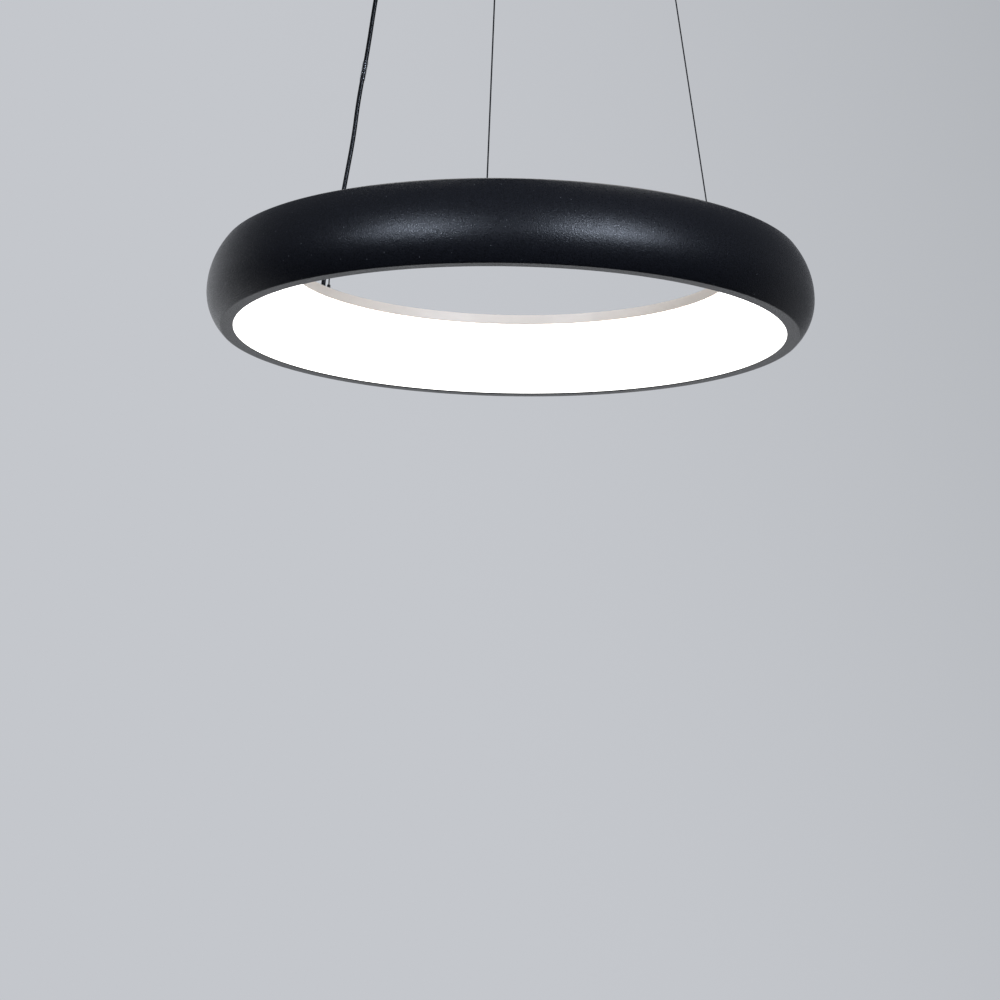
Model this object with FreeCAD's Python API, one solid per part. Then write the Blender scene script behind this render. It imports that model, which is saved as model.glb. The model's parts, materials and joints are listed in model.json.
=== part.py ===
"""Ring pendant lamp: a round black shade, open in the middle, hung on three steel wires from a ceiling canopy.

Millimetres, +Z up. The origin is the middle of the ceiling bracket's top face, so the lamp hangs at negative z.
Azimuths are in degrees, anticlockwise from +X seen from above. The left wire, at 150 degrees, carries the cord.
"""

import FreeCAD, Part
import math
import os

os.makedirs("parts", exist_ok=True)

Vector = FreeCAD.Vector
UP = Vector(0, 0, 1)
whole_turn = 360.0
quarter_turn = 90.0

# Shade
lip_inner_radius = 273.0  # opening of the flat lip that faces the floor
lip_flat_width = 11.8
crease_radius = 2.5  # from the lip into the belly
crease_turn = 45.6
belly_radius = 47.0  # lower half of the rounded wall
flank_radius = 70.0  # upper half, a little straighter
flank_turn = 38.0
shoulder_radius = 6.0  # into the top flange
flange_width = 15.0
sheet = 1.2  # spun sheet of the shade

# Collar and diffuser
cone_run = 52.5  # inwards from the lip's edge to the hole through the ring
collar_radius = lip_inner_radius - cone_run
collar_bottom = 65.7  # above the lip, where the diffuser ends
collar_top = 76.0
collar_sheet = 1.2
collar_foot = 8.0  # flange over the diffuser's top edge
collar_head = 7.0  # flange under the top cover
acrylic = 2.0
diffuser_setback = 0.4  # the cone starts this far outside the lip's edge
diffuser_foot = 8.0  # flat rim that rests on the lip

# Top cover
cover_sheet = 1.5
cover_floor = 72.0  # underside of the pan, above the lip
cover_wall_gap = 3.4  # from the shade's flange in to the step up from the pan to its rim
cover_lap = 11.6  # of the rim under the shade's flange
collar_clearance = 0.3

# Light band
carrier_sheet = 1.2
carrier_gap = 24.0  # sideways from the diffuser's inside to the band
carrier_bottom = 16.0
carrier_top = 61.0
carrier_flange = 13.0
board_thickness = 1.0
board_seat_gap = 0.05  # heat-conducting tape behind the boards
board_bottom = 21.0
board_top = 56.0
board_count = 12
board_sweep_share = 0.93  # of the board's share of the circle
led_length = 5.0
led_width = 3.0
led_height = 0.8
led_row_shares = (0.27, 0.73)  # of the board's height
leds_per_row = 4
led_seat_gap = 0.03

# Screws, studs and small pieces of the ring
screw_radius = 1.5
screw_hole_clearance = 0.15
screw_head_radius = 2.8
screw_head_height = 1.8
head_wall_share = 0.45  # of a screw head's height, before it slopes in
head_flat_share = 0.6  # of a screw head's radius, flat on top
nut_across_flats = 5.5
nut_height = 2.4
cover_screw_count = 6
cover_screw_reach = 3.0  # thread that shows under the rim
spacer_radius = 3.2
spacer_inset = 7.4  # from the band's top edge
spacer_count = 6
spacer_azimuth = 15.0  # of the first
rivet_radius = 1.3
rivet_head_radius = 2.4
rivet_head_height = 0.9
rivet_offset = 5.5  # outside the collar
rivet_circle = collar_radius + rivet_offset
rivet_count = 12
clip_count = 6
clip_width = 14.0
clip_sheet = 0.8
clip_grip = 3.0  # over the diffuser's foot
clip_tail = 2.6  # flat on the lip
terminal_size = (12.0, 24.0, 8.0)  # radial, tangential, height
terminal_corner = 0.8
terminal_offset = 22.5  # outside the collar
terminal_circle = collar_radius + terminal_offset
terminal_azimuth = 162.0
terminal_port_radius = 1.6
terminal_ports = 3
terminal_port_depth = 6.0

# Wires and their threaded ends on the ring
wire_radius = 0.75
wire_azimuths = {"front": 270.0, "right": 30.0, "left": 150.0}
foot_offset = 14.0  # outside the collar
foot_circle = collar_radius + foot_offset
wire_bend_radius = 30.0
wire_bend_height = 5.0  # straight wire past a fitting, up to the bend
ferrule_radius = 1.8
ferrule_height = 11.0  # above the pan's floor
ferrule_base_across_flats = 6.0
ferrule_base_height = 2.2
ferrule_shank_radius = 1.7
ferrule_shank_length = 6.0
ferrule_wall = 1.5  # metal left under the blind bore
ferrule_hole_clearance = 0.2
ferrule_nut_height = 2.8
wire_running_clearance = 0.07
wire_overshoot = 6.0  # cut end above the nipple

# Ceiling canopy
canopy_height = 40.0
canopy_radius = 150.0
canopy_sheet = 1.2
canopy_corner = 6.0
canopy_hem = 3.0
ceiling_gap = 1.0
suspension_drop = 620.0  # canopy's underside to the shade's top
grip_inset = 18.0  # from the canopy's edge
grip_circle = canopy_radius - grip_inset

# Ceiling bracket
bracket_width = 36.0
bracket_sheet = 2.0
bracket_ear_width = 24.0
bracket_ear_depth = 22.0
ear_clearance = 0.3
slot_pitch = 80.0
slot_length = 20.0
slot_width = 5.0
cable_hole_radius = 10.0
bracket_corner = 5.0
bracket_bend_share = 0.9  # of the sheet, rounding outside each bend
side_screw_radius = 2.0
side_screw_drop = 14.0  # below the ceiling
side_screw_head_radius = 4.5
side_screw_head_height = 3.0
side_screw_length = 9.0
side_screw_chamfer = 0.6
side_screw_clearance = 0.2

# Driver and terminals in the canopy
driver_size = (150.0, 44.0, 20.0)
driver_corner = 4.0
driver_lid_height = 2.5
driver_lid_inset = 1.0
driver_gap = 8.0  # between the bracket and the driver behind it
driver_place = bracket_width / 2 + driver_gap + driver_size[1] / 2
driver_ear_length = 10.0
driver_ear_width = 20.0
driver_ear_thickness = 2.5
driver_vent_count = 9
driver_vent_width = 2.0
driver_vent_length = 26.0
driver_vent_pitch = 6.0
stud_radius = 1.95
stud_length = 9.0
stud_clearance = 0.15
stud_nut_across_flats = 7.0
stud_nut_height = 3.2
mains_block_size = (34.0, 18.0, 14.0)
mains_gap = 11.0  # from the slot to the block
mains_block_place = slot_pitch / 2 + slot_length / 2 + mains_gap + mains_block_size[0] / 2
mains_block_corner = 1.5
mains_port_radius = 2.2
mains_port_height = 4.6
mains_port_depth = 8.0
mains_screw_spacing = 22.0
mains_sink_depth = 3.0  # of the screw heads into the block's underside
mains_port_count = 3
earth_gap = 16.0  # from the other slot
earth_place = -slot_pitch / 2 - slot_length / 2 - earth_gap
earth_radius = 1.95
earth_length = 8.0
earth_across_flats = 6.2
earth_head_height = 2.4

# Wire gripper, hanging under the canopy
gripper_radius = 7.0
gripper_length = 24.0
gripper_chamfer = 2.0
nipple_radius = 5.0
nipple_engagement = 6.0
nipple_rise = 12.0  # above the canopy's underside
nipple_bore = 2.2
thread_clearance = 0.05
chamber_radius = 4.2
chamber_depth = 12.0
cone_end_radius = 2.75
cone_end_depth = 20.0
plunger_radius = 2.5
plunger_bore = 1.05
plunger_proud = 5.0
plunger_chamfer = 0.25
plunger_rim_radius = 3.7
plunger_rim_height = 0.8
plunger_mouth_clearance = 0.08
plunger_travel = 2.5
grip_ball_radius = 1.2
grip_ball_gap = 0.04
grip_ball_pocket_clearance = 0.05
grip_ball_count = 3
spring_coil_radius = 3.2
spring_wire_radius = 0.3
spring_turns = 4
spring_seat_gap = 0.02
gripper_nut_across_flats = 14.0
gripper_nut_height = 4.0
nut_clearance = 0.1

# Cord, its way through the ring's top and out of the canopy
cord_radius = 2.3
cord_entry_offset = 9.6  # along the circle, from the left wire's foot
cord_exit_offset = 18.0  # the same at the canopy
grommet_bore_clearance = 0.3
grommet_wall = 0.9
grommet_flange_radius = 5.2
grommet_flange_height = 1.2
grommet_sleeve_length = 8.0
grommet_seat_clearance = 0.05
gland_length = 26.0
gland_mouth_radius = 3.4
gland_collar_radius = 6.0
gland_collar_height = 5.0
gland_collar_across_flats = 13.0
gland_thread_radius = 4.9
gland_rise = 9.0
gland_bore_clearance = 0.12
gland_bore_depth = 9.5
gland_lead_bore = 1.6
gland_nut_across_flats = 13.0
gland_nut_height = 3.0
sleeve_length = 20.0
sleeve_wall = 0.35
sleeve_clearance = 0.3
sleeve_heights = (98.0, 236.0, 430.0)

# Route of the cord beside the left wire. Each row: height above the pan's floor, then how far the cord's middle
# lies outwards and along the circle from the wire's middle at that height. The first two and last two points
# stand straight in the grommet and in the gland, so only their heights count.
cord_route = (
    (-5.0, 0.0, cord_entry_offset),
    (10.0, 0.0, cord_entry_offset),
    (26.0, -0.5, 8.3),
    (48.0, -1.3, 5.7),
    (78.0, -2.0, 3.6),
    (118.0, -2.2, 2.8),
    (165.0, -3.0, 2.1),
    (205.0, -1.6, 3.1),
    (255.0, -2.6, 2.4),
    (310.0, -1.8, 2.9),
    (365.0, -2.4, 2.5),
    (425.0, -1.7, 3.0),
    (478.0, -2.3, 2.9),
    (518.0, -1.6, 4.4),
    (546.0, -1.0, 8.6),
    (568.0, -0.4, 13.6),
    (590.0, 0.0, cord_exit_offset),
    (609.0, 0.0, cord_exit_offset),
)

cord_bend_share = 0.45  # of the shorter run, taken by each arc on it

overrun = 2.0  # cutting tools reach this far past what they cut
tangent_share = 0.5  # of a unit tangent, above which an edge counts as running that way
gap_points_per_turn = 24  # where the spring's gap to itself is measured


def put(name, solids):
    """Writes one node: a solid, or a list of separate solids."""
    shape = Part.makeCompound(solids) if isinstance(solids, list) else solids
    for solid in shape.Solids:
        if not solid.isValid():
            raise ValueError(name + " is not a valid solid")
    shape.exportStep("parts/" + name + ".step")


def on_circle(radius, azimuth, z):
    angle = math.radians(azimuth)
    return Vector(radius * math.cos(angle), radius * math.sin(angle), z)


def turned(shape, azimuth):
    """The shape, turned about the lamp's axis."""
    copy = shape.copy()
    copy.rotate(Vector(), UP, azimuth)
    return copy


def round_about(shape, count, first=0.0):
    """Copies of a shape at even steps round the lamp's axis."""
    return [turned(shape, first + whole_turn * i / count) for i in range(count)]


def rod(radius, length, at, direction=UP):
    return Part.makeCylinder(radius, length, at, direction)


def block(size, at):
    """A box with its length along X, standing with the middle of its underside on the point."""
    return Part.makeBox(*size, at - Vector(size[0] / 2, size[1] / 2, 0))


def upright_edges(solid):
    return [e for e in solid.Edges if abs(e.tangentAt(e.FirstParameter).z) > tangent_share]


def hexagon(across_flats, height, at):
    """A hexagonal prism standing on the point."""
    corner = across_flats / math.sqrt(3)
    points = [at + on_circle(corner, whole_turn * i / 6, 0) for i in range(7)]
    return Part.Face(Part.makePolygon(points)).extrude(UP * height)


def spun(outline, sweep=whole_turn, first=0.0, z=0.0):
    """A ring with the outline, a list of (radius, height) points, as its section."""
    corners = [Vector(r, 0, h + z) for r, h in outline]
    face = Part.Face(Part.makePolygon(corners + corners[:1]))
    return turned(face.revolve(Vector(), UP, sweep), first)


def arcs(start, turns, inset):
    """Tangent arcs, turning left from a level start; inset moves them towards their centres."""
    x, z = start
    heading = 0.0
    edges = []
    for radius, turn in turns:
        cx = x - radius * math.sin(heading)
        cz = z + radius * math.cos(heading)
        reach = radius - inset
        stops = [heading + math.radians(turn) * share for share in (0, 0.5, 1)]
        points = [Vector(cx + reach * math.sin(a), 0, cz - reach * math.cos(a)) for a in stops]
        edges.append(Part.Arc(*points).toShape())
        heading = stops[-1]
        x = cx + radius * math.sin(heading)
        z = cz - radius * math.cos(heading)
    return edges


def ends(edge):
    return edge.Vertexes[0].Point, edge.Vertexes[-1].Point


wall_turns = (
    (crease_radius, crease_turn),
    (belly_radius, quarter_turn - crease_turn),
    (flank_radius, flank_turn),
    (shoulder_radius, quarter_turn - flank_turn),
)


def shade_size():
    """The shade's height and its top flange's outer radius, from its arcs."""
    last = arcs((lip_inner_radius + lip_flat_width, 0.0), wall_turns, 0.0)[-1]
    end = ends(last)[1]
    return end.z, end.x


shade_height, flange_outer_radius = shade_size()
canopy_underside = -canopy_height
lip_level = canopy_underside - suspension_drop - shade_height
pan_top = cover_floor + cover_sheet  # above the lip
pan_level = lip_level + pan_top
rim_top = shade_height - sheet
canopy_floor = canopy_underside + canopy_sheet


def cone_radius(height):
    """Inside radius of the diffuser's cone at a height above the lip."""
    low = lip_inner_radius + diffuser_setback
    high = collar_radius + collar_clearance
    return low + (high - low) * (height - sheet) / (collar_bottom - sheet)


spacer_circle = cone_radius(carrier_top) + carrier_gap + spacer_inset
flange_edge_radius = flange_outer_radius - flange_width
cover_wall_radius = flange_edge_radius - cover_wall_gap
cover_rim_radius = flange_edge_radius + cover_lap
cover_screw_circle = flange_edge_radius + cover_lap / 2

cone_slope = (cone_radius(sheet) - cone_radius(collar_bottom)) / (collar_bottom - sheet)
cone_stretch = math.hypot(1, cone_slope)  # sideways thickness of a wall that follows the cone, per thickness


def make_outer_shell():
    start = (lip_inner_radius + lip_flat_width, 0.0)
    outer = arcs(start, wall_turns, 0.0)
    inner = arcs(start, wall_turns, sheet)
    outer_start, outer_end = ends(outer[0])[0], ends(outer[-1])[1]
    inner_start, inner_end = ends(inner[0])[0], ends(inner[-1])[1]
    flange_edge = Vector(outer_end.x - flange_width, 0, outer_end.z)
    lip_edge = Vector(lip_inner_radius, 0, 0)
    thick = Vector(0, 0, sheet)
    bottom = Part.makeLine(lip_edge, outer_start)
    top = Part.makeLine(outer_end, flange_edge)
    top_edge = Part.makeLine(flange_edge, flange_edge - thick)
    under = Part.makeLine(flange_edge - thick, inner_end)
    inside = Part.makeLine(inner_start, lip_edge + thick)
    close = Part.makeLine(lip_edge + thick, lip_edge)
    edges = [bottom, *outer, top, top_edge, under, *inner, inside, close]
    face = Part.Face(Part.Wire(Part.__sortEdges__(edges)))
    shell = face.revolve(Vector(), UP, whole_turn)
    hole = rod(
        screw_radius + screw_hole_clearance,
        sheet + 2 * overrun,
        on_circle(cover_screw_circle, 0, shade_height - sheet - overrun),
    )
    shell = shell.cut(Part.makeCompound(round_about(hole, cover_screw_count)))
    shell.translate(UP * lip_level)
    return shell


def make_diffuser():
    wall = acrylic * cone_stretch
    top = collar_bottom
    outline = [
        (cone_radius(sheet), sheet),
        (cone_radius(sheet) + diffuser_foot, sheet),
        (cone_radius(sheet) + diffuser_foot, sheet + acrylic),
        (cone_radius(sheet + acrylic) + wall, sheet + acrylic),
        (cone_radius(top - acrylic) + wall, top - acrylic),
        (cone_radius(top) + collar_foot, top - acrylic),
        (cone_radius(top) + collar_foot, top),
        (cone_radius(top), top),
    ]
    return spun(outline, z=lip_level)


def make_collar():
    outer = collar_radius + collar_sheet
    outline = [
        (collar_radius, collar_bottom),
        (outer + collar_foot, collar_bottom),
        (outer + collar_foot, collar_bottom + collar_sheet),
        (outer, collar_bottom + collar_sheet),
        (outer, cover_floor - collar_sheet),
        (outer + collar_head, cover_floor - collar_sheet),
        (outer + collar_head, cover_floor),
        (outer, cover_floor),
        (outer, collar_top),
        (collar_radius, collar_top),
    ]
    collar = spun(outline, z=lip_level)
    hole = rod(
        rivet_radius,
        collar_sheet + 2 * overrun,
        on_circle(rivet_circle, 0, lip_level + cover_floor - collar_sheet - overrun),
    )
    return collar.cut(Part.makeCompound(round_about(hole, rivet_count)))


def pan_point(radius, azimuth, height=0.0):
    """A point over the pan's floor."""
    return on_circle(radius, azimuth, pan_level + height)


def beside_left(circle, offset, z):
    """A point at a fitting of the left wire, moved along the circle."""
    azimuth = wire_azimuths["left"]
    return on_circle(circle, azimuth, z) + on_circle(offset, azimuth + quarter_turn, 0)


def cord_entry(height=0.0):
    return beside_left(foot_circle, cord_entry_offset, pan_level + height)


def make_top_cover():
    inner = collar_radius + collar_sheet + collar_clearance
    outline = [
        (inner, cover_floor),
        (cover_wall_radius + cover_sheet, cover_floor),
        (cover_wall_radius + cover_sheet, rim_top - cover_sheet),
        (cover_rim_radius, rim_top - cover_sheet),
        (cover_rim_radius, rim_top),
        (cover_wall_radius, rim_top),
        (cover_wall_radius, pan_top),
        (inner, pan_top),
    ]
    cover = spun(outline, z=lip_level)
    through = cover_sheet + 2 * overrun
    below = -cover_sheet - overrun
    tools = []
    screw_hole = screw_radius + screw_hole_clearance
    rim_hole = rod(screw_hole, through, on_circle(cover_screw_circle, 0, lip_level + rim_top + below))
    tools += round_about(rim_hole, cover_screw_count)
    spacer_hole = rod(screw_hole, through, pan_point(spacer_circle, 0, below))
    tools += round_about(spacer_hole, spacer_count, spacer_azimuth)
    rivet_hole = rod(rivet_radius, through, pan_point(rivet_circle, 0, below))
    tools += round_about(rivet_hole, rivet_count)
    shank_hole = ferrule_shank_radius + ferrule_hole_clearance
    for azimuth in wire_azimuths.values():
        tools.append(rod(shank_hole, through, pan_point(foot_circle, azimuth, below)))
    neck = cord_radius + grommet_bore_clearance + grommet_wall
    tools.append(rod(neck + grommet_seat_clearance, through, cord_entry(below)))
    return cover.cut(Part.makeCompound(tools))


def make_carrier():
    wall = carrier_sheet * cone_stretch
    outline = [
        (cone_radius(carrier_bottom) + carrier_gap, carrier_bottom),
        (cone_radius(carrier_bottom) + carrier_gap + wall, carrier_bottom),
        (cone_radius(carrier_top) + carrier_gap + wall, carrier_top),
        (cone_radius(carrier_top) + carrier_gap + carrier_flange, carrier_top),
        (cone_radius(carrier_top) + carrier_gap + carrier_flange, carrier_top + carrier_sheet),
        (cone_radius(carrier_top + carrier_sheet) + carrier_gap, carrier_top + carrier_sheet),
    ]
    carrier = spun(outline, z=lip_level)
    hole = rod(
        screw_radius + screw_hole_clearance,
        carrier_sheet + 2 * overrun,
        on_circle(spacer_circle, 0, lip_level + carrier_top - overrun),
    )
    return carrier.cut(Part.makeCompound(round_about(hole, spacer_count, spacer_azimuth)))


def make_boards():
    back = carrier_gap - board_seat_gap * cone_stretch
    front = back - board_thickness * cone_stretch
    outline = [
        (cone_radius(board_bottom) + front, board_bottom),
        (cone_radius(board_bottom) + back, board_bottom),
        (cone_radius(board_top) + back, board_top),
        (cone_radius(board_top) + front, board_top),
    ]
    step = whole_turn / board_count
    sweep = step * board_sweep_share
    board = spun(outline, sweep, -sweep / 2, lip_level)
    return round_about(board, board_count, step / 2)


def make_leds(first):
    """Every second light source, counted from the first."""
    step = whole_turn / board_count
    tilt = math.degrees(math.atan(cone_slope))
    leds = []
    for row, row_share in enumerate(led_row_shares):
        height = board_bottom + (board_top - board_bottom) * row_share
        curve_depth = (led_length / 2) ** 2 / (2 * cone_radius(height))  # of the board behind a flat source
        depth = board_seat_gap + board_thickness + led_seat_gap + curve_depth
        radius = cone_radius(height) + carrier_gap - depth * cone_stretch
        corner = Vector(-led_height, -led_length / 2, -led_width / 2)
        led = Part.makeBox(led_height, led_length, led_width, corner)
        led.rotate(Vector(), Vector(0, 1, 0), -tilt)
        led.translate(Vector(radius, 0, lip_level + height))
        spacing = step * board_sweep_share / leds_per_row
        for i in range(board_count):
            for k in range(leds_per_row):
                if (i * leds_per_row + k + row) % 2 == first:
                    leds.append(turned(led, step * (i + 0.5) + spacing * (k - (leds_per_row - 1) / 2)))
    return leds


def make_spacers():
    height = cover_floor - carrier_top - carrier_sheet
    at = on_circle(spacer_circle, 0, lip_level + carrier_top + carrier_sheet)
    outer = rod(spacer_radius, height, at)
    inner = rod(screw_radius + screw_hole_clearance, height + 2 * overrun, at - UP * overrun)
    return round_about(outer.cut(inner), spacer_count, spacer_azimuth)


def pan_head_screw(at, length, radius=screw_radius, head=screw_head_radius, head_height=screw_head_height):
    """A screw whose head sits on the point and whose shank hangs below it."""
    outline = [
        (0, -length),
        (radius, -length),
        (radius, 0),
        (head, 0),
        (head, head_height * head_wall_share),
        (head * head_flat_share, head_height),
        (0, head_height),
    ]
    screw = spun(outline)
    screw.translate(at)
    return screw


def make_carrier_screws():
    length = pan_top - carrier_top + nut_height + screw_radius
    screw = pan_head_screw(pan_point(spacer_circle, 0), length)
    return round_about(screw, spacer_count, spacer_azimuth)


def nut(across_flats, height, bore, at):
    """A hexagonal nut standing on the point."""
    return hexagon(across_flats, height, at).cut(rod(bore, height + 2 * overrun, at - UP * overrun))


def make_carrier_nuts():
    at = on_circle(spacer_circle, 0, lip_level + carrier_top - nut_height)
    body = nut(nut_across_flats, nut_height, screw_radius + thread_clearance, at)
    return round_about(body, spacer_count, spacer_azimuth)


def make_cover_screws():
    at = on_circle(cover_screw_circle, 0, lip_level + shade_height)
    length = sheet + cover_sheet + cover_screw_reach
    return round_about(pan_head_screw(at, length), cover_screw_count)


def make_rivets():
    length = cover_sheet + collar_sheet
    at = pan_point(rivet_circle, 0)
    rivet = pan_head_screw(at, length, rivet_radius, rivet_head_radius, rivet_head_height)
    return round_about(rivet, rivet_count)


def make_diffuser_clips():
    """Bent strips: a tail flat on the lip, a riser beside the diffuser's foot and a grip over it."""
    outer = cone_radius(sheet) + diffuser_foot + collar_clearance
    low = sheet
    step = sheet + acrylic
    outline = [
        (outer, low),
        (outer + clip_tail, low),
        (outer + clip_tail, low + clip_sheet),
        (outer + clip_sheet, low + clip_sheet),
        (outer + clip_sheet, step + clip_sheet),
        (outer - clip_grip, step + clip_sheet),
        (outer - clip_grip, step),
        (outer, step),
    ]
    sweep = math.degrees(clip_width / outer)
    clip = spun(outline, sweep, -sweep / 2, lip_level)
    return round_about(clip, clip_count, whole_turn / clip_count / 2)


def make_ring_terminal():
    deep, wide, high = terminal_size
    low = lip_level + cover_floor - high
    body = block(terminal_size, Vector(terminal_circle, 0, low))
    body = body.makeFillet(terminal_corner, upright_edges(body))
    pitch = wide / (terminal_ports + 1)
    for i in range(terminal_ports):
        y = pitch * (i - (terminal_ports - 1) / 2)
        mouth = Vector(terminal_circle - deep / 2 - overrun, y, low + high / 2)
        body = body.cut(rod(terminal_port_radius, terminal_port_depth + overrun, mouth, Vector(1, 0, 0)))
    return turned(body, terminal_azimuth)


def make_grommet():
    bore = cord_radius + grommet_bore_clearance
    neck = bore + grommet_wall
    under = -cover_sheet
    outline = [
        (bore, under - grommet_sleeve_length),
        (neck, under - grommet_sleeve_length),
        (neck, under - grommet_flange_height),
        (grommet_flange_radius, under - grommet_flange_height),
        (grommet_flange_radius, under),
        (neck, under),
        (neck, 0.0),
        (grommet_flange_radius, 0.0),
        (neck, grommet_flange_height),
        (bore, grommet_flange_height),
    ]
    grommet = spun(outline)
    grommet.translate(cord_entry())
    return grommet


def make_ferrule(azimuth):
    """A threaded end: hexagon on the pan, barrel above it, shank through the pan, blind bore for the wire."""
    at = pan_point(foot_circle, azimuth)
    base = hexagon(ferrule_base_across_flats, ferrule_base_height, at)
    barrel = rod(ferrule_radius, ferrule_height, at)
    shank = rod(ferrule_shank_radius, ferrule_shank_length, at - UP * ferrule_shank_length)
    body = base.fuse([barrel, shank]).removeSplitter()
    depth = ferrule_height + ferrule_shank_length - ferrule_wall
    bore = rod(wire_radius + wire_running_clearance, depth + overrun, at + UP * (ferrule_height - depth))
    return body.cut(bore)


def make_ferrule_nuts():
    low = -cover_sheet - ferrule_nut_height
    bore = ferrule_shank_radius + thread_clearance
    return [
        nut(ferrule_base_across_flats, ferrule_nut_height, bore, pan_point(foot_circle, a, low))
        for a in wire_azimuths.values()
    ]


grip_mouth = canopy_underside - gripper_length - plunger_proud
wire_start = pan_level - ferrule_shank_length + ferrule_wall + wire_running_clearance
foot_bend = pan_level + ferrule_height + wire_bend_height
head_bend = grip_mouth - wire_bend_height
wire_end = canopy_underside + nipple_rise + wire_overshoot


def wire_reach(z):
    """Distance of a wire's middle from the lamp's axis at a height."""
    share = (z - foot_bend) / (head_bend - foot_bend)
    return foot_circle + (grip_circle - foot_circle) * min(max(share, 0.0), 1.0)


def bent_path(points, radii):
    """One wire of straight runs and tangent arcs; radii holds one radius for each inner point."""
    edges = []
    at = points[0]
    for before, corner, after, radius in zip(points, points[1:], points[2:], radii):
        inward = (corner - before).normalize()
        outward = (after - corner).normalize()
        half = inward.getAngle(outward) / 2
        reach = radius * math.tan(half)
        start = corner - inward * reach
        stop = corner + outward * reach
        towards = (outward - inward).normalize()
        centre = corner + towards * (radius / math.cos(half))
        middle = centre - towards * radius
        edges.append(Part.LineSegment(at, start).toShape())
        edges.append(Part.Arc(start, middle, stop).toShape())
        at = stop
    edges.append(Part.LineSegment(at, points[-1]).toShape())
    return Part.Wire(edges)


def swept_round(path, radius, start, direction):
    """A round bar along a path; its volume is checked against its section times its length."""
    circle = Part.Wire(Part.Circle(start, direction, radius).toShape())
    bar = path.makePipeShell([circle], True, False)
    ratio = bar.Volume / (math.pi * radius * radius * path.Length)
    print("swept bar: length %.1f, volume over section times length %.5f" % (path.Length, ratio))
    return bar


def make_wire(azimuth):
    points = [
        on_circle(foot_circle, azimuth, wire_start),
        on_circle(foot_circle, azimuth, foot_bend),
        on_circle(grip_circle, azimuth, head_bend),
        on_circle(grip_circle, azimuth, wire_end),
    ]
    path = bent_path(points, [wire_bend_radius, wire_bend_radius])
    return swept_round(path, wire_radius, points[0], UP)


def cord_points():
    azimuth = wire_azimuths["left"]
    outwards = on_circle(1, azimuth, 0)
    along = on_circle(1, azimuth + quarter_turn, 0)
    heights = [row[0] for row in cord_route]
    points = [cord_entry(height) for height in heights[:2]]
    for height, out, side in cord_route[2:-2]:
        z = pan_level + height
        points.append(on_circle(wire_reach(z), azimuth, z) + outwards * out + along * side)
    for height in heights[-2:]:
        points.append(cord_exit(canopy_underside - pan_level - height))
    return points


def make_cord():
    points = cord_points()
    radii = []
    for before, corner, after in zip(points, points[1:], points[2:]):
        shorter = min(before.distanceToPoint(corner), corner.distanceToPoint(after))
        half = (corner - before).getAngle(after - corner) / 2
        radii.append(cord_bend_share * shorter / math.tan(half))
    print("cord radii:", [round(r, 1) for r in radii])
    path = bent_path(points, radii)
    return swept_round(path, cord_radius, points[0], UP)


def cord_middle(z):
    """The straight line between the cord's two route points beside a height, read at that height."""
    points = cord_points()
    for a, b in zip(points, points[1:]):
        if a.z <= z <= b.z:
            return a + (b - a) * ((z - a.z) / (b.z - a.z))


def make_cord_sleeves():
    """Clear sleeves, each round the cord and the wire together."""
    sleeves = []
    azimuth = wire_azimuths["left"]
    for height in sleeve_heights:
        low = pan_level + height - sleeve_length / 2
        high = low + sleeve_length
        wire_low = on_circle(wire_reach(low), azimuth, low)
        wire_high = on_circle(wire_reach(high), azimuth, high)
        cord_low, cord_high = cord_middle(low), cord_middle(high)
        wire_way = wire_high - wire_low
        cord_way = cord_high - cord_low
        wire_bore = wire_radius + sleeve_clearance
        cord_bore = cord_radius + sleeve_clearance
        outside = rod(wire_bore + sleeve_wall, wire_way.Length, wire_low, wire_way)
        outside = outside.fuse(rod(cord_bore + sleeve_wall, cord_way.Length, cord_low, cord_way))
        wire_past = wire_way.normalize() * overrun
        cord_past = cord_way.normalize() * overrun
        inside = rod(wire_bore, sleeve_length + 3 * overrun, wire_low - wire_past, wire_past)
        inside = inside.fuse(rod(cord_bore, sleeve_length + 3 * overrun, cord_low - cord_past, cord_past))
        sleeves.append(outside.cut(inside))
    return sleeves


def grip_place(azimuth, depth=0.0):
    """A point on a gripper's axis, the depth below the canopy's underside."""
    return on_circle(grip_circle, azimuth, canopy_underside - depth)


def cord_exit(depth=0.0):
    return beside_left(grip_circle, cord_exit_offset, canopy_underside - depth)


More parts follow.
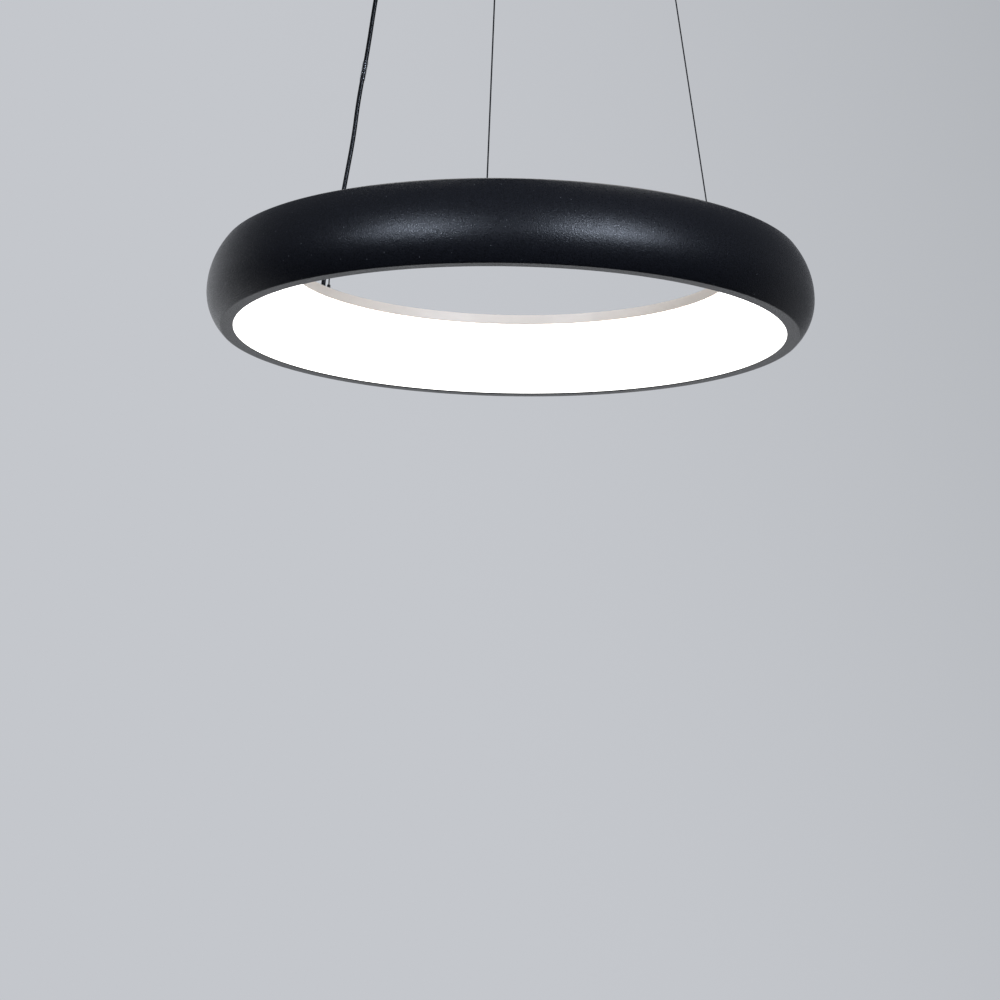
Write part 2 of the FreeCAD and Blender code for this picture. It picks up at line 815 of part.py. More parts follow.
def make_canopy_cover():
    top = -ceiling_gap
    floor = canopy_underside
    r = canopy_radius
    c = canopy_corner
    cut = math.sqrt(0.5)

    def skin(inset):
        """Outline from the axis out over the rounded corner and up the wall."""
        reach = c - inset
        turn = Vector(r - c, 0, floor + c)
        arc = Part.Arc(
            turn + Vector(0, 0, -reach),
            turn + Vector(reach * cut, 0, -reach * cut),
            turn + Vector(reach, 0, 0),
        ).toShape()
        flat = Part.makeLine(Vector(0, 0, floor + inset), ends(arc)[0])
        wall = Part.makeLine(ends(arc)[1], Vector(r - inset, 0, top))
        return [flat, arc, wall]

    outer, inner = skin(0.0), skin(canopy_sheet)
    hem = Part.makeLine(Vector(r, 0, top), Vector(r - canopy_sheet, 0, top))
    axis = Part.makeLine(Vector(0, 0, floor), Vector(0, 0, floor + canopy_sheet))
    face = Part.Face(Part.Wire(Part.__sortEdges__([*outer, *inner, hem, axis])))
    cover = face.revolve(Vector(), UP, whole_turn)
    through = canopy_sheet + 2 * overrun
    hole = nipple_radius + nut_clearance
    tools = [rod(hole, through, grip_place(a, overrun)) for a in wire_azimuths.values()]
    gland_hole = gland_thread_radius + nut_clearance
    tools.append(rod(gland_hole, through, cord_exit(overrun)))
    screw_hole = side_screw_radius + side_screw_clearance
    for side in (1, -1):
        mouth = Vector(side * (r - canopy_sheet - overrun), 0, -side_screw_drop)
        tools.append(rod(screw_hole, through, mouth, Vector(side, 0, 0)))
    return cover.cut(Part.makeCompound(tools))


def driver_stud_places():
    place = driver_size[0] / 2 + driver_ear_length / 2
    return (-place, place)


def make_driver_studs():
    """Studs welded to the canopy's floor."""
    return [rod(stud_radius, stud_length, Vector(x, driver_place, canopy_floor)) for x in driver_stud_places()]


def bracket_reach():
    """Half the bracket's length: its ears just clear the canopy's wall."""
    wall = canopy_radius - canopy_sheet
    return math.sqrt(wall ** 2 - (bracket_ear_width / 2) ** 2) - ear_clearance


def bracket_profile():
    """Side view of the bracket: a flat bar whose ends are bent down into ears, with rounded outer bends."""
    reach = bracket_reach()
    low = -bracket_ear_depth
    t = bracket_sheet
    corners = [
        Vector(-reach, 0, low),
        Vector(-reach, 0, 0),
        Vector(reach, 0, 0),
        Vector(reach, 0, low),
        Vector(reach - t, 0, low),
        Vector(reach - t, 0, -t),
        Vector(t - reach, 0, -t),
        Vector(t - reach, 0, low),
    ]
    face = Part.Face(Part.makePolygon(corners + corners[:1]))
    bar = face.extrude(Vector(0, bracket_width, 0))
    bar.translate(Vector(0, -bracket_width / 2, 0))
    crosswise = [e for e in bar.Edges if abs(e.tangentAt(e.FirstParameter).y) > tangent_share]
    bends = [e for e in crosswise if e.CenterOfMass.z == 0]
    return bar.makeFillet(bracket_bend_share * t, bends)


def make_bracket():
    reach = bracket_reach()
    bar = bracket_profile()
    neck = (bracket_width - bracket_ear_width) / 2
    tools = []
    for side in (1, -1):
        for edge in (1, -1):
            x = side * (reach + overrun)
            y = edge * bracket_width / 2
            size = (2 * (bracket_corner + overrun), 2 * neck, bracket_ear_depth + 2 * overrun)
            tools.append(block(size, Vector(x, y, -bracket_ear_depth - overrun)))
    through = bracket_sheet + 2 * overrun
    low = -bracket_sheet - overrun
    tools.append(rod(cable_hole_radius, through, Vector(0, 0, low)))
    for side in (1, -1):
        tools.append(slot(side * slot_pitch / 2, low, through))
        mouth = Vector(side * (reach - bracket_sheet - overrun), 0, -side_screw_drop)
        tools.append(rod(side_screw_radius + thread_clearance, through, mouth, Vector(side, 0, 0)))
    for place in mains_screw_places():
        tools.append(rod(screw_radius + thread_clearance, through, Vector(place, 0, low)))
    tools.append(rod(earth_radius + thread_clearance, through, Vector(earth_place, 0, low)))
    return bar.cut(Part.makeCompound(tools))


def slot(x, low, through):
    """A round-ended slot along X, as a cutting tool."""
    radius = slot_width / 2
    span = slot_length - slot_width
    middle = block((span, slot_width, through), Vector(x, 0, low))
    round_ends = [rod(radius, through, Vector(x + end * span / 2, 0, low)) for end in (1, -1)]
    return middle.fuse(round_ends).removeSplitter()


def mains_screw_places():
    half = mains_screw_spacing / 2
    return (mains_block_place - half, mains_block_place + half)


def make_side_screws():
    screws = []
    for side in (1, -1):
        seat = Vector(side * canopy_radius, 0, -side_screw_drop)
        inward = Vector(-side, 0, 0)
        head = rod(side_screw_head_radius, side_screw_head_height, seat, inward * -1)
        rims = [e for e in head.Edges if abs(e.CenterOfMass.x) > canopy_radius + side_screw_head_height / 2]
        round_rims = [e for e in rims if e.Closed]
        head = head.makeChamfer(side_screw_chamfer, round_rims[:1])
        screws.append(head.fuse(rod(side_screw_radius, side_screw_length, seat, inward)).removeSplitter())
    return screws


def make_driver():
    case = block(driver_size, Vector(0, driver_place, canopy_floor))
    case = case.makeFillet(driver_corner, upright_edges(case))
    ear_size = (driver_ear_length, driver_ear_width, driver_ear_thickness)
    depth = driver_ear_thickness + 2 * overrun
    for x in driver_stud_places():
        ear = block(ear_size, Vector(x, driver_place, canopy_floor))
        hole = rod(stud_radius + stud_clearance, depth, Vector(x, driver_place, canopy_floor - overrun))
        case = case.fuse(ear.cut(hole))
    return case.removeSplitter()


def make_driver_lid():
    long, wide, high = driver_size
    inset = driver_lid_inset
    level = canopy_floor + high
    size = (long - 2 * inset, wide - 2 * inset, driver_lid_height)
    lid = block(size, Vector(0, driver_place, level))
    lid = lid.makeFillet(driver_corner - inset, upright_edges(lid))
    vent = (driver_vent_width, driver_vent_length, driver_lid_height + overrun)
    for i in range(driver_vent_count):
        x = driver_vent_pitch * (i - (driver_vent_count - 1) / 2)
        lid = lid.cut(block(vent, Vector(x, driver_place, level + driver_lid_height / 2)))
    return lid


def make_driver_nuts():
    level = canopy_floor + driver_ear_thickness
    bore = stud_radius + thread_clearance
    return [
        nut(stud_nut_across_flats, stud_nut_height, bore, Vector(x, driver_place, level))
        for x in driver_stud_places()
    ]


def make_mains_block():
    wide, high = mains_block_size[1:]
    low = -bracket_sheet - high
    body = block(mains_block_size, Vector(mains_block_place, 0, low))
    body = body.makeFillet(mains_block_corner, upright_edges(body))
    tools = []
    for x in mains_screw_places():
        under = Vector(x, 0, low - overrun)
        tools.append(rod(screw_radius + screw_hole_clearance, high + 2 * overrun, under))
        tools.append(rod(screw_head_radius + screw_hole_clearance, mains_sink_depth + overrun, under))
    pitch = mains_screw_spacing / mains_port_count
    for i in range(mains_port_count):
        x = mains_block_place + pitch * (i - (mains_port_count - 1) / 2)
        for side in (1, -1):
            mouth = Vector(x, side * (wide / 2 + overrun), low + mains_port_height)
            tools.append(rod(mains_port_radius, mains_port_depth + overrun, mouth, Vector(0, -side, 0)))
    for tool in tools:
        body = body.cut(tool)
    return body


def make_terminal_screws():
    """Screws driven from below through the block into the bracket."""
    seat = -bracket_sheet - mains_block_size[2] + mains_sink_depth
    screws = []
    for x in mains_screw_places():
        screw = pan_head_screw(Vector(), -seat - ceiling_gap / 2)
        screw.rotate(Vector(), Vector(1, 0, 0), 2 * quarter_turn)
        screw.translate(Vector(x, 0, seat))
        screws.append(screw)
    return screws


def make_earth_screw():
    at = Vector(earth_place, 0, -bracket_sheet - earth_head_height)
    head = hexagon(earth_across_flats, earth_head_height, at)
    shank = rod(earth_radius, bracket_sheet, Vector(earth_place, 0, -bracket_sheet))
    tail = rod(earth_radius, earth_length, at - UP * earth_length)
    return head.fuse([shank, tail]).removeSplitter()


def make_gland():
    """Tapered strain relief under the canopy, hexagonal collar against it, thread through it."""
    bore = cord_radius + gland_bore_clearance
    mouth = -gland_length
    seat = mouth + gland_bore_depth
    collar_low = -gland_collar_height
    outline = [
        (bore, mouth),
        (gland_mouth_radius, mouth),
        (gland_collar_radius, collar_low),
        (gland_collar_radius, 0.0),
        (gland_thread_radius, 0.0),
        (gland_thread_radius, gland_rise),
        (gland_lead_bore, gland_rise),
        (gland_lead_bore, seat),
        (bore, seat),
    ]
    gland = spun(outline)
    collar = hexagon(gland_collar_across_flats, gland_collar_height, UP * collar_low)
    collar = collar.cut(rod(gland_lead_bore, gland_collar_height + 2 * overrun, UP * (collar_low - overrun)))
    gland = gland.fuse(collar).removeSplitter()
    gland.translate(cord_exit())
    return gland


def make_nipple(azimuth):
    length = nipple_engagement + nipple_rise
    at = grip_place(azimuth, nipple_engagement)
    return rod(nipple_radius, length, at).cut(rod(nipple_bore, length + 2 * overrun, at - UP * overrun))


def make_gripper_body(azimuth):
    """Turned body: socket for the nipple, spring chamber, cone that narrows downwards, mouth of the plunger."""
    socket = nipple_radius + thread_clearance
    mouth = plunger_radius + plunger_mouth_clearance
    r = gripper_radius
    outline = [
        (socket, 0.0),
        (r, 0.0),
        (r, gripper_chamfer - gripper_length),
        (r - gripper_chamfer, -gripper_length),
        (mouth, -gripper_length),
        (mouth, -cone_end_depth),
        (cone_end_radius, -cone_end_depth),
        (chamber_radius, -chamber_depth),
        (chamber_radius, -nipple_engagement),
        (socket, -nipple_engagement),
    ]
    body = spun(outline)
    body.translate(grip_place(azimuth))
    return body


def cone_at(depth):
    share = (cone_end_depth - depth) / (cone_end_depth - chamber_depth)
    return cone_end_radius + (chamber_radius - cone_end_radius) * share


def ball_place():
    """Reach from the axis and depth at which a ball touches the wire and the cone, but for the gaps."""
    reach = wire_radius + grip_ball_radius + grip_ball_gap
    slope = (chamber_radius - cone_end_radius) / (cone_end_depth - chamber_depth)
    wanted = reach + (grip_ball_radius + grip_ball_gap) * math.hypot(1, slope)
    depth = cone_end_depth - (wanted - cone_end_radius) / slope
    return reach, depth


def make_plunger(azimuth):
    top = -chamber_depth + plunger_rim_height
    low = -gripper_length - plunger_proud
    outline = [
        (plunger_bore, low),
        (plunger_radius - plunger_chamfer, low),
        (plunger_radius, low + plunger_chamfer),
        (plunger_radius, top - plunger_rim_height),
        (plunger_rim_radius, top - plunger_rim_height),
        (plunger_rim_radius, top),
        (plunger_bore, top),
    ]
    plunger = spun(outline)
    depth = ball_place()[1]
    bore = grip_ball_radius + grip_ball_pocket_clearance
    pocket = rod(bore, plunger_rim_radius + overrun, Vector(0, 0, -depth), Vector(1, 0, 0))
    plunger = plunger.cut(Part.makeCompound(round_about(pocket, grip_ball_count)))
    plunger.translate(grip_place(azimuth))
    return plunger


def make_balls(azimuth):
    reach, depth = ball_place()
    ball = Part.makeSphere(grip_ball_radius, Vector(reach, 0, -depth))
    balls = round_about(ball, grip_ball_count)
    for b in balls:
        b.translate(grip_place(azimuth))
    return balls


def arc_beside(start, corner, end):
    """The arc that touches both legs of a corner whose legs are equally long."""
    leg = start.distanceToPoint(corner)
    weight = start.distanceToPoint(end) / (2 * leg)
    middle = (start + corner * (2 * weight) + end) / (2 + 2 * weight)
    return Part.Arc(start, middle, end).toShape()


def biarc(start, start_way, end, end_way):
    """Two arcs that join smoothly and run from one point and direction to another."""
    way = end - start
    both = start_way + end_way
    a = both.dot(both) - 4
    b = -2 * way.dot(both)
    leg = (-b - math.sqrt(b * b - 4 * a * way.dot(way))) / (2 * a)
    first, second = start + start_way * leg, end - end_way * leg
    joint = (first + second) / 2
    return [arc_beside(start, first, joint), arc_beside(joint, second, end)]


def helix(radius, height, turns):
    """A helix from height zero upwards, as pairs of arcs over quarter turns."""
    steps = round(turns * whole_turn / quarter_turn)
    rise = UP * (height / math.radians(turns * whole_turn))
    stops = []
    for i in range(steps + 1):
        azimuth = quarter_turn * i
        point = on_circle(radius, azimuth, height * i / steps)
        way = (on_circle(radius, azimuth + quarter_turn, 0) + rise).normalize()
        stops.append((point, way))
    edges = []
    for (start, start_way), (end, end_way) in zip(stops, stops[1:]):
        edges += biarc(start, start_way, end, end_way)
    return Part.Wire(edges)


def turn_gap(path):
    """The least gap between one turn of the spring and the next, measured on points along the wire's middle."""
    points = path.discretize(gap_points_per_turn * spring_turns + 1)
    pairs = zip(points, points[gap_points_per_turn:])
    return min(a.distanceToPoint(b) for a, b in pairs) - 2 * spring_wire_radius


def make_spring(azimuth):
    low = -chamber_depth + plunger_rim_height + spring_wire_radius + spring_seat_gap
    high = -nipple_engagement - spring_wire_radius - spring_seat_gap
    path = helix(spring_coil_radius, high - low, spring_turns)
    print("spring: least gap to itself %.2f" % turn_gap(path))
    start, direction = path.Edges[0].valueAt(0), path.Edges[0].tangentAt(0)
    circle = Part.Wire(Part.Circle(start, direction, spring_wire_radius).toShape())
    spring = path.makePipeShell([circle], True, False)
    spring.translate(grip_place(azimuth) + UP * low)
    return spring


def make_gripper_nuts():
    bore = nipple_radius + thread_clearance
    return [
        nut(gripper_nut_across_flats, gripper_nut_height, bore, grip_place(a, -canopy_sheet))
        for a in wire_azimuths.values()
    ]


def make_gland_nut():
    bore = gland_thread_radius + thread_clearance
    return nut(gland_nut_across_flats, gland_nut_height, bore, cord_exit(-canopy_sheet))


def build():
    put("outer_shell", make_outer_shell())
    put("opal_diffuser", make_diffuser())
    put("inner_collar", make_collar())
    put("top_cover", make_top_cover())
    put("led_carrier", make_carrier())
    put("led_boards", make_boards())
    put("warm_leds", make_leds(0))
    put("cool_leds", make_leds(1))
    put("carrier_spacers", make_spacers())
    put("carrier_screws", make_carrier_screws())
    put("carrier_nuts", make_carrier_nuts())
    put("cover_screws", make_cover_screws())
    put("collar_rivets", make_rivets())
    put("diffuser_clips", make_diffuser_clips())
    put("ring_terminal_block", make_ring_terminal())
    put("cord_grommet", make_grommet())
    put("ferrule_nuts", make_ferrule_nuts())
    put("power_cord", make_cord())
    put("cord_sleeves", make_cord_sleeves())
    put("canopy_cover", make_canopy_cover())
    put("ceiling_bracket", make_bracket())
    put("side_screws", make_side_screws())
    put("driver_studs", make_driver_studs())
    put("driver_case", make_driver())
    put("driver_lid", make_driver_lid())
    put("driver_nuts", make_driver_nuts())
    put("mains_terminal_block", make_mains_block())
    put("terminal_screws", make_terminal_screws())
    put("earth_screw", make_earth_screw())
    put("canopy_gland", make_gland())
    put("gland_nut", make_gland_nut())
    put("gripper_nuts", make_gripper_nuts())
    for side, azimuth in wire_azimuths.items():
        put("ferrule_" + side, make_ferrule(azimuth))
        put("wire_" + side, make_wire(azimuth))
        put("gripper_nipple_" + side, make_nipple(azimuth))
        put("gripper_body_" + side, make_gripper_body(azimuth))
        put("gripper_plunger_" + side, make_plunger(azimuth))
        put("gripper_balls_" + side, make_balls(azimuth))
        put("gripper_spring_" + side, make_spring(azimuth))


build()
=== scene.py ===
"""Looks of a ring pendant lamp: black shade with a glowing inner band, hung on three wires from a ceiling canopy.

Metres, +Z up, in the frame of the construction model. Azimuths run anticlockwise from +X seen from above.
"""

import json
import math

import bpy
import numpy as np
from bpy.props import FloatProperty, FloatVectorProperty, IntProperty, PointerProperty
from mathutils import Matrix, Vector


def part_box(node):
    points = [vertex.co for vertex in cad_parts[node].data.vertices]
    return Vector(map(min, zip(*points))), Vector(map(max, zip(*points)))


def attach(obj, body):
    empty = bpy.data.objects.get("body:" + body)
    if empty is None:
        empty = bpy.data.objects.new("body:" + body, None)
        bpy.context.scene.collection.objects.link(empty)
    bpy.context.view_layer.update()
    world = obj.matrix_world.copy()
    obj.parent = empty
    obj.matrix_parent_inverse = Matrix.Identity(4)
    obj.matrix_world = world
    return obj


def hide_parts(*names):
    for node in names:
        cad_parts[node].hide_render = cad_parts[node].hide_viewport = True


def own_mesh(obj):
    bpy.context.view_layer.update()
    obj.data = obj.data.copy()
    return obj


bl_info = {
    "name": "Ring Pendant Lamp",
    "version": (1, 0, 0),
    "blender": (4, 5, 0),
    "location": "View3D > Sidebar > Lamp",
    "description": "Builds a ring pendant lamp with its wires, cord and ceiling canopy",
    "category": "Add Mesh",
}

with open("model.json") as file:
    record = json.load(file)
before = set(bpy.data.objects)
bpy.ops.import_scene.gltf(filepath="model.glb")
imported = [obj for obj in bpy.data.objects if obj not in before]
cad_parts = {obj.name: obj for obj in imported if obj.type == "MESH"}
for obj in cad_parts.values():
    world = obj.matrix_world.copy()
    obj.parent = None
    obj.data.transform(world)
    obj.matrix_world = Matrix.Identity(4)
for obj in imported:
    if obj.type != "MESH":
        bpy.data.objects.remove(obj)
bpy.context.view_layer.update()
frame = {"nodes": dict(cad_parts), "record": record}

mm = 0.001
tiny = 1e-9
sides = ("front", "right", "left")
shade_steps = 288  # round the shade's axis
canopy_steps = 192
turned_steps = 64
edge_steps = 5  # across a rounded edge
corner_points = edge_steps + 3  # an edge's arc and the point beside each of its ends
sharp_angle = math.radians(32)
sensor_width = 36  # millimetres
image_side = 1000  # pixels


def box_middle(node):
    """The middle of a construction node's box."""
    low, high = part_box(node)
    return (low + high) / 2


slot_of = {part["node"]: part["material_slot"] for part in frame["record"]["subparts"]}
lip_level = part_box("outer_shell")[0].z
shade_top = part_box("outer_shell")[1].z
pan_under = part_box("top_cover")[0].z
canopy_low, canopy_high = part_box("canopy_cover")
plunger_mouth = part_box("gripper_plunger_left")[0].z


def number(name, description, default, **more):
    """A number that a user may change."""
    return FloatProperty(name=name, description=description, default=default, **more)


def length(name, description, default):
    """A size that a user may change, in metres."""
    return number(name, description, default, unit="LENGTH", precision=5)


def count(name, description, default, least=1):
    """A whole number that a user may change."""
    return IntProperty(name=name, description=description, default=default, min=least)


def paint(name, description, default):
    """A colour that a user may change, as linear red, green and blue."""
    return FloatVectorProperty(name=name, description=description, default=default, subtype="COLOR", min=0, max=1)


class ShadeSizes(bpy.types.PropertyGroup):
    """Sizes of the shade, its diffuser, its collar and its top cover"""
    lip_radius: length("Lip radius", "Opening of the flat lip that faces the floor", 0.273)
    lip_width: length("Lip width", "Width of the flat lip", 0.0118)
    crease_radius: length("Crease radius", "From the lip into the wall", 0.0025)
    belly_radius: length("Belly radius", "Lower half of the rounded wall", 0.047)
    flank_radius: length("Flank radius", "Upper half of the rounded wall", 0.070)
    shoulder_radius: length("Shoulder radius", "From the wall into the top flange", 0.006)
    flange_width: length("Flange width", "Width of the top flange", 0.015)
    sheet: length("Sheet", "Thickness of the shade's sheet", 0.0012)
    cover_sheet: length("Cover sheet", "Thickness of the top cover", 0.0015)
    cover_wall_gap: length("Cover wall gap", "From the flange's edge in to the cover's step", 0.0034)
    collar_sheet: length("Collar sheet", "Thickness of the collar", 0.0012)
    collar_foot: length("Collar foot", "Flange of the collar over the diffuser", 0.008)
    collar_head: length("Collar head", "Flange of the collar under the top cover", 0.007)
    acrylic: length("Acrylic", "Thickness of the diffuser", 0.002)
    diffuser_setback: length("Diffuser setback", "From the lip's edge out to the diffuser", 0.0004)
    diffuser_foot: length("Diffuser foot", "Rim of the diffuser on the lip", 0.008)
    clearance: length("Clearance", "Between the collar and what it passes", 0.0003)


class SuspensionSizes(bpy.types.PropertyGroup):
    """Sizes of the wires, the cord and their ends on the shade"""
    wire_radius: length("Wire radius", "Half the stranded wire's thickness", 0.00075)
    wire_lay: length("Wire lay", "Length of one turn of the wire's strands", 0.011)
    wire_strands: count("Wire strands", "Strands round the wire's core", 6, least=3)
    bend_height: length("Bend height", "Straight wire past a fitting", 0.005)
    ferrule_radius: length("Ferrule radius", "Barrel of a wire's threaded end", 0.0018)
    ferrule_height: length("Ferrule height", "Barrel above the top cover's floor", 0.011)
    ferrule_flats: length("Ferrule flats", "Hexagon of the threaded end, across its flats", 0.006)
    ferrule_base: length("Ferrule base", "Height of that hexagon", 0.0022)
    ferrule_shank: length("Ferrule shank", "Threaded shank through the top cover, its length", 0.006)
    ferrule_shank_radius: length("Ferrule shank radius", "Threaded shank, its radius", 0.0017)
    cord_radius: length("Cord radius", "Half the power cord's thickness", 0.0023)
    sleeve_length: length("Sleeve length", "Length of a clear sleeve on the cord", 0.02)
    sleeve_wall: length("Sleeve wall", "Thickness of a clear sleeve", 0.00035)
    sleeve_clearance: length("Sleeve clearance", "Between a sleeve and what it holds", 0.0003)
    wire_length: length("Wire length", "One suspension wire, from its threaded end to its cut end", 0.657)
    cord_length: length("Cord length", "The power cord from the shade to the canopy", 0.6245)


class CanopySizes(bpy.types.PropertyGroup):
    """Sizes of the canopy and the fittings under it"""
    sheet: length("Canopy sheet", "Thickness of the canopy", 0.0012)
    corner: length("Canopy corner", "Rounding between floor and wall", 0.006)
    head_radius: length("Screw head radius", "Knurled side screws", 0.0045)
    head_height: length("Screw head height", "Knurled side screws", 0.003)
    screw_radius: length("Screw radius", "Shank of the side screws", 0.002)
    gripper_radius: length("Gripper radius", "Body of a wire gripper", 0.007)
    gripper_length: length("Gripper length", "Body of a wire gripper below the canopy", 0.024)
    gripper_chamfer: length("Gripper chamfer", "Lower edge of a gripper's body", 0.002)
    plunger_radius: length("Plunger radius", "Release plunger of a gripper", 0.0025)
    plunger_bore: length("Plunger bore", "Hole for the wire", 0.00105)
    spring_wire: length("Spring wire", "Thickness of the wire of a gripper's spring", 0.0006)
    spring_turns: count("Spring turns", "Turns of a gripper's spring", 4)
    gland_length: length("Gland length", "Strain relief below the canopy", 0.026)
    gland_mouth: length("Gland mouth", "Radius of the strain relief's lower end", 0.0034)
    gland_flats: length("Gland flats", "Hexagon of the strain relief, across its flats", 0.013)
    gland_collar: length("Gland collar", "Height of that hexagon", 0.005)


class LampFinish(bpy.types.PropertyGroup):
    """Colours of the paints and the cord, and the light of the diffuser"""
    black: paint("Black paint", "Powder coat of the shade and the canopy", (0.0092, 0.0096, 0.0122))
    cream: paint("Cream paint", "Paint of the collar", (0.88, 0.78, 0.675))
    glow: paint("Glow", "Light of the diffuser", (1.0, 0.99, 0.965))
    glow_strength: number("Glow strength", "Brightness of the diffuser", 2.9)
    cord: paint("Cord", "Sheath of the power cord", (0.005, 0.0052, 0.006))


class ViewSettings(bpy.types.PropertyGroup):
    """Where the camera stands, and the floor of the studio"""
    distance: length("Distance", "From the camera to the middle of the lip, along the view", 2.6224)
    lens: number("Lens", "Focal length in millimetres on a 36 mm sensor", 95.318)
    rise: number("Rise", "How far the view looks up", 0.16876, subtype="ANGLE")
    roll: number("Roll", "Turn of the view about its own axis", 0.018768, subtype="ANGLE")
    turn: number("Turn", "Turn of the lamp about its own axis", math.radians(5.84), subtype="ANGLE")
    middle_column: number("Column", "Image column of the lip's middle, in pixels", 509.778)
    middle_row: number("Row", "Image row of the lip's middle, in pixels", 336.808)
    floor_drop: length("Floor drop", "From the ceiling to the floor of the studio", 3.7)


groups = {
    "lamp_shade": ShadeSizes,
    "lamp_suspension": SuspensionSizes,
    "lamp_canopy": CanopySizes,
    "lamp_finish": LampFinish,
    "lamp_view": ViewSettings,
}


def settings(group):
    """The scene's values of one group."""
    return getattr(bpy.context.scene, group)


def pan_top():
    """Height of the top cover's floor, which carries the wires and the cord."""
    return pan_under + settings("lamp_shade").cover_sheet


# Surfaces


def around(steps):
    """Angles of equal steps round a full turn."""
    return np.arange(steps) * (2 * np.pi / steps)


def surface(x, y, z, closed=False):
    """A grid of points, rows by columns; the columns close on themselves, and the rows too where closed is true.

    A row whose points all coincide is a pole and becomes one point, so the quads beside it become triangles."""
    x, y, z = np.broadcast_arrays(x, y, z)
    points = np.stack([x, y, z], axis=-1).astype(float)
    rows, columns = x.shape
    index = np.arange(rows * columns).reshape(rows, columns)
    pole = np.ptp(points, axis=1).max(axis=1) < tiny
    index = np.where(pole[:, None], index[:, :1], index)
    low = index if closed else index[:-1]
    high = np.roll(index, -1, axis=0) if closed else index[1:]
    quads = np.stack([low, np.roll(low, -1, 1), np.roll(high, -1, 1), high], axis=-1).reshape(-1, 4)
    low_pole = quads[:, 0] == quads[:, 1]
    high_pole = quads[:, 2] == quads[:, 3]
    whole = quads[~low_pole & ~high_pole]
    above = quads[low_pole & ~high_pole][:, [0, 2, 3]]
    below = quads[high_pole & ~low_pole][:, [0, 1, 2]]
    used, renumbered = np.unique(np.concatenate([whole.ravel(), above.ravel(), below.ravel()]), return_inverse=True)
    whole_new, above_new, below_new = np.split(renumbered, [whole.size, whole.size + above.size])
    faces = whole_new.reshape(-1, 4).tolist() + above_new.reshape(-1, 3).tolist() + below_new.reshape(-1, 3).tolist()
    return points.reshape(-1, 3)[used], faces


def rounded(corners, radii):
    """A closed outline whose corners are arcs: each arc touches both sides of its corner.

    Its centre lies on the corner's bisector, radius / sin(half the corner's angle) away. One more point each side of
    an arc, a fifth of its radius off, keeps the shading of the flats beside it flat."""
    corners = np.array(corners, float)
    radii = np.broadcast_to(np.array(radii, float), len(corners))[:, None]
    back = np.roll(corners, 1, axis=0) - corners
    ahead = np.roll(corners, -1, axis=0) - corners
    back /= np.linalg.norm(back, axis=1, keepdims=True)
    ahead /= np.linalg.norm(ahead, axis=1, keepdims=True)
    half = np.arccos(np.clip((back * ahead).sum(axis=1, keepdims=True), -1, 1)) / 2
    reach = radii / np.tan(half)
    bisector = back + ahead
    bisector /= np.linalg.norm(bisector, axis=1, keepdims=True)
    centres = corners + bisector * radii / np.sin(half)
    start = corners + back * reach - centres
    stop = corners + ahead * reach - centres
    first = np.arctan2(start[:, 1], start[:, 0])[:, None]
    sweep = np.arctan2(stop[:, 1], stop[:, 0])[:, None] - first
    sweep = (sweep + np.pi) % (2 * np.pi) - np.pi
    angle = first + sweep * np.linspace(0, 1, edge_steps + 1)
    arcs = centres[:, None] + radii[:, None] * np.stack([np.cos(angle), np.sin(angle)], axis=-1)
    before = centres + start + back * radii / 5
    after = centres + stop + ahead * radii / 5
    return np.concatenate([before[:, None], arcs, after[:, None]], axis=1).reshape(-1, 2)


def lathe(outline, steps, closed=True):
    """The outline turned about the z axis: (radius cos angle, radius sin angle, height).

    The outline runs anticlockwise with the radius to the right, so that its faces point outwards."""
    outline = np.array(outline, float)
    radius, height = outline[:, :1], outline[:, 1:]
    angle = around(steps)
    return surface(radius * np.cos(angle), radius * np.sin(angle), height, closed)


def stacked(rows, angle, closed=False):
    """Rings of any outline, one above another: rows holds (radius, height), the radius one number or one an angle."""
    radius = np.array([np.broadcast_to(r, angle.shape) for r, h in rows])
    height = np.array([h for r, h in rows])[:, None]
    return surface(radius * np.cos(angle), radius * np.sin(angle), height, closed)


def arc(centre, radius, angle):
    """Points of an arc: centre + radius (cos angle, sin angle)."""
    return np.array(centre) + radius * np.stack([np.cos(angle), np.sin(angle)], axis=-1)


def cut_edge(corners, sheet):
    """The rounded cut edge of a sheet, between the second and the third of its four corners."""
    cut = sheet * 0.42  # a little less than half, so that the two arcs don't meet
    return rounded(corners, [tiny, cut, cut, tiny])[corner_points:3 * corner_points]


def hexagon_reach(across_flats, angle):
    """Distance from the middle to the side of a hexagon: half the flats over the cosine of the folded angle."""
    folded = (angle + np.pi / 6) % (np.pi / 3) - np.pi / 6
    return across_flats / 2 / np.cos(folded)


def moved(part, offset):
    """The part, moved by an offset."""
    points, faces = part
    return points + np.array(offset, float), faces


def turned(part, azimuth):
    """The part, turned about the z axis by an angle in radians."""
    points, faces = part
    c, s = math.cos(azimuth), math.sin(azimuth)
    return points @ np.array([[c, s, 0], [-s, c, 0], [0, 0, 1]]), faces


def joined(parts):
    """Several parts as one."""
    points = np.concatenate([p for p, f in parts])
    faces = []
    start = 0
    for p, f in parts:
        faces += [[i + start for i in face] for face in f]
        start += len(p)
    return points, faces


def on_circle(part, radius, level, azimuths, spin=0.0):
    """Copies of the part at azimuths on a circle, each first turned about itself by spin times its azimuth."""
    return joined([turned(moved(turned(part, a * spin), (radius, 0, level)), a) for a in azimuths])


def on_axis(middle, z=0.0):
    """An offset to the vertical line through a middle."""
    return (middle.x, middle.y, z)


def placed(name, data):
    """A new object in the scene."""
    holder = bpy.data.objects.new(name, data)
    bpy.context.scene.collection.objects.link(holder)
    return holder


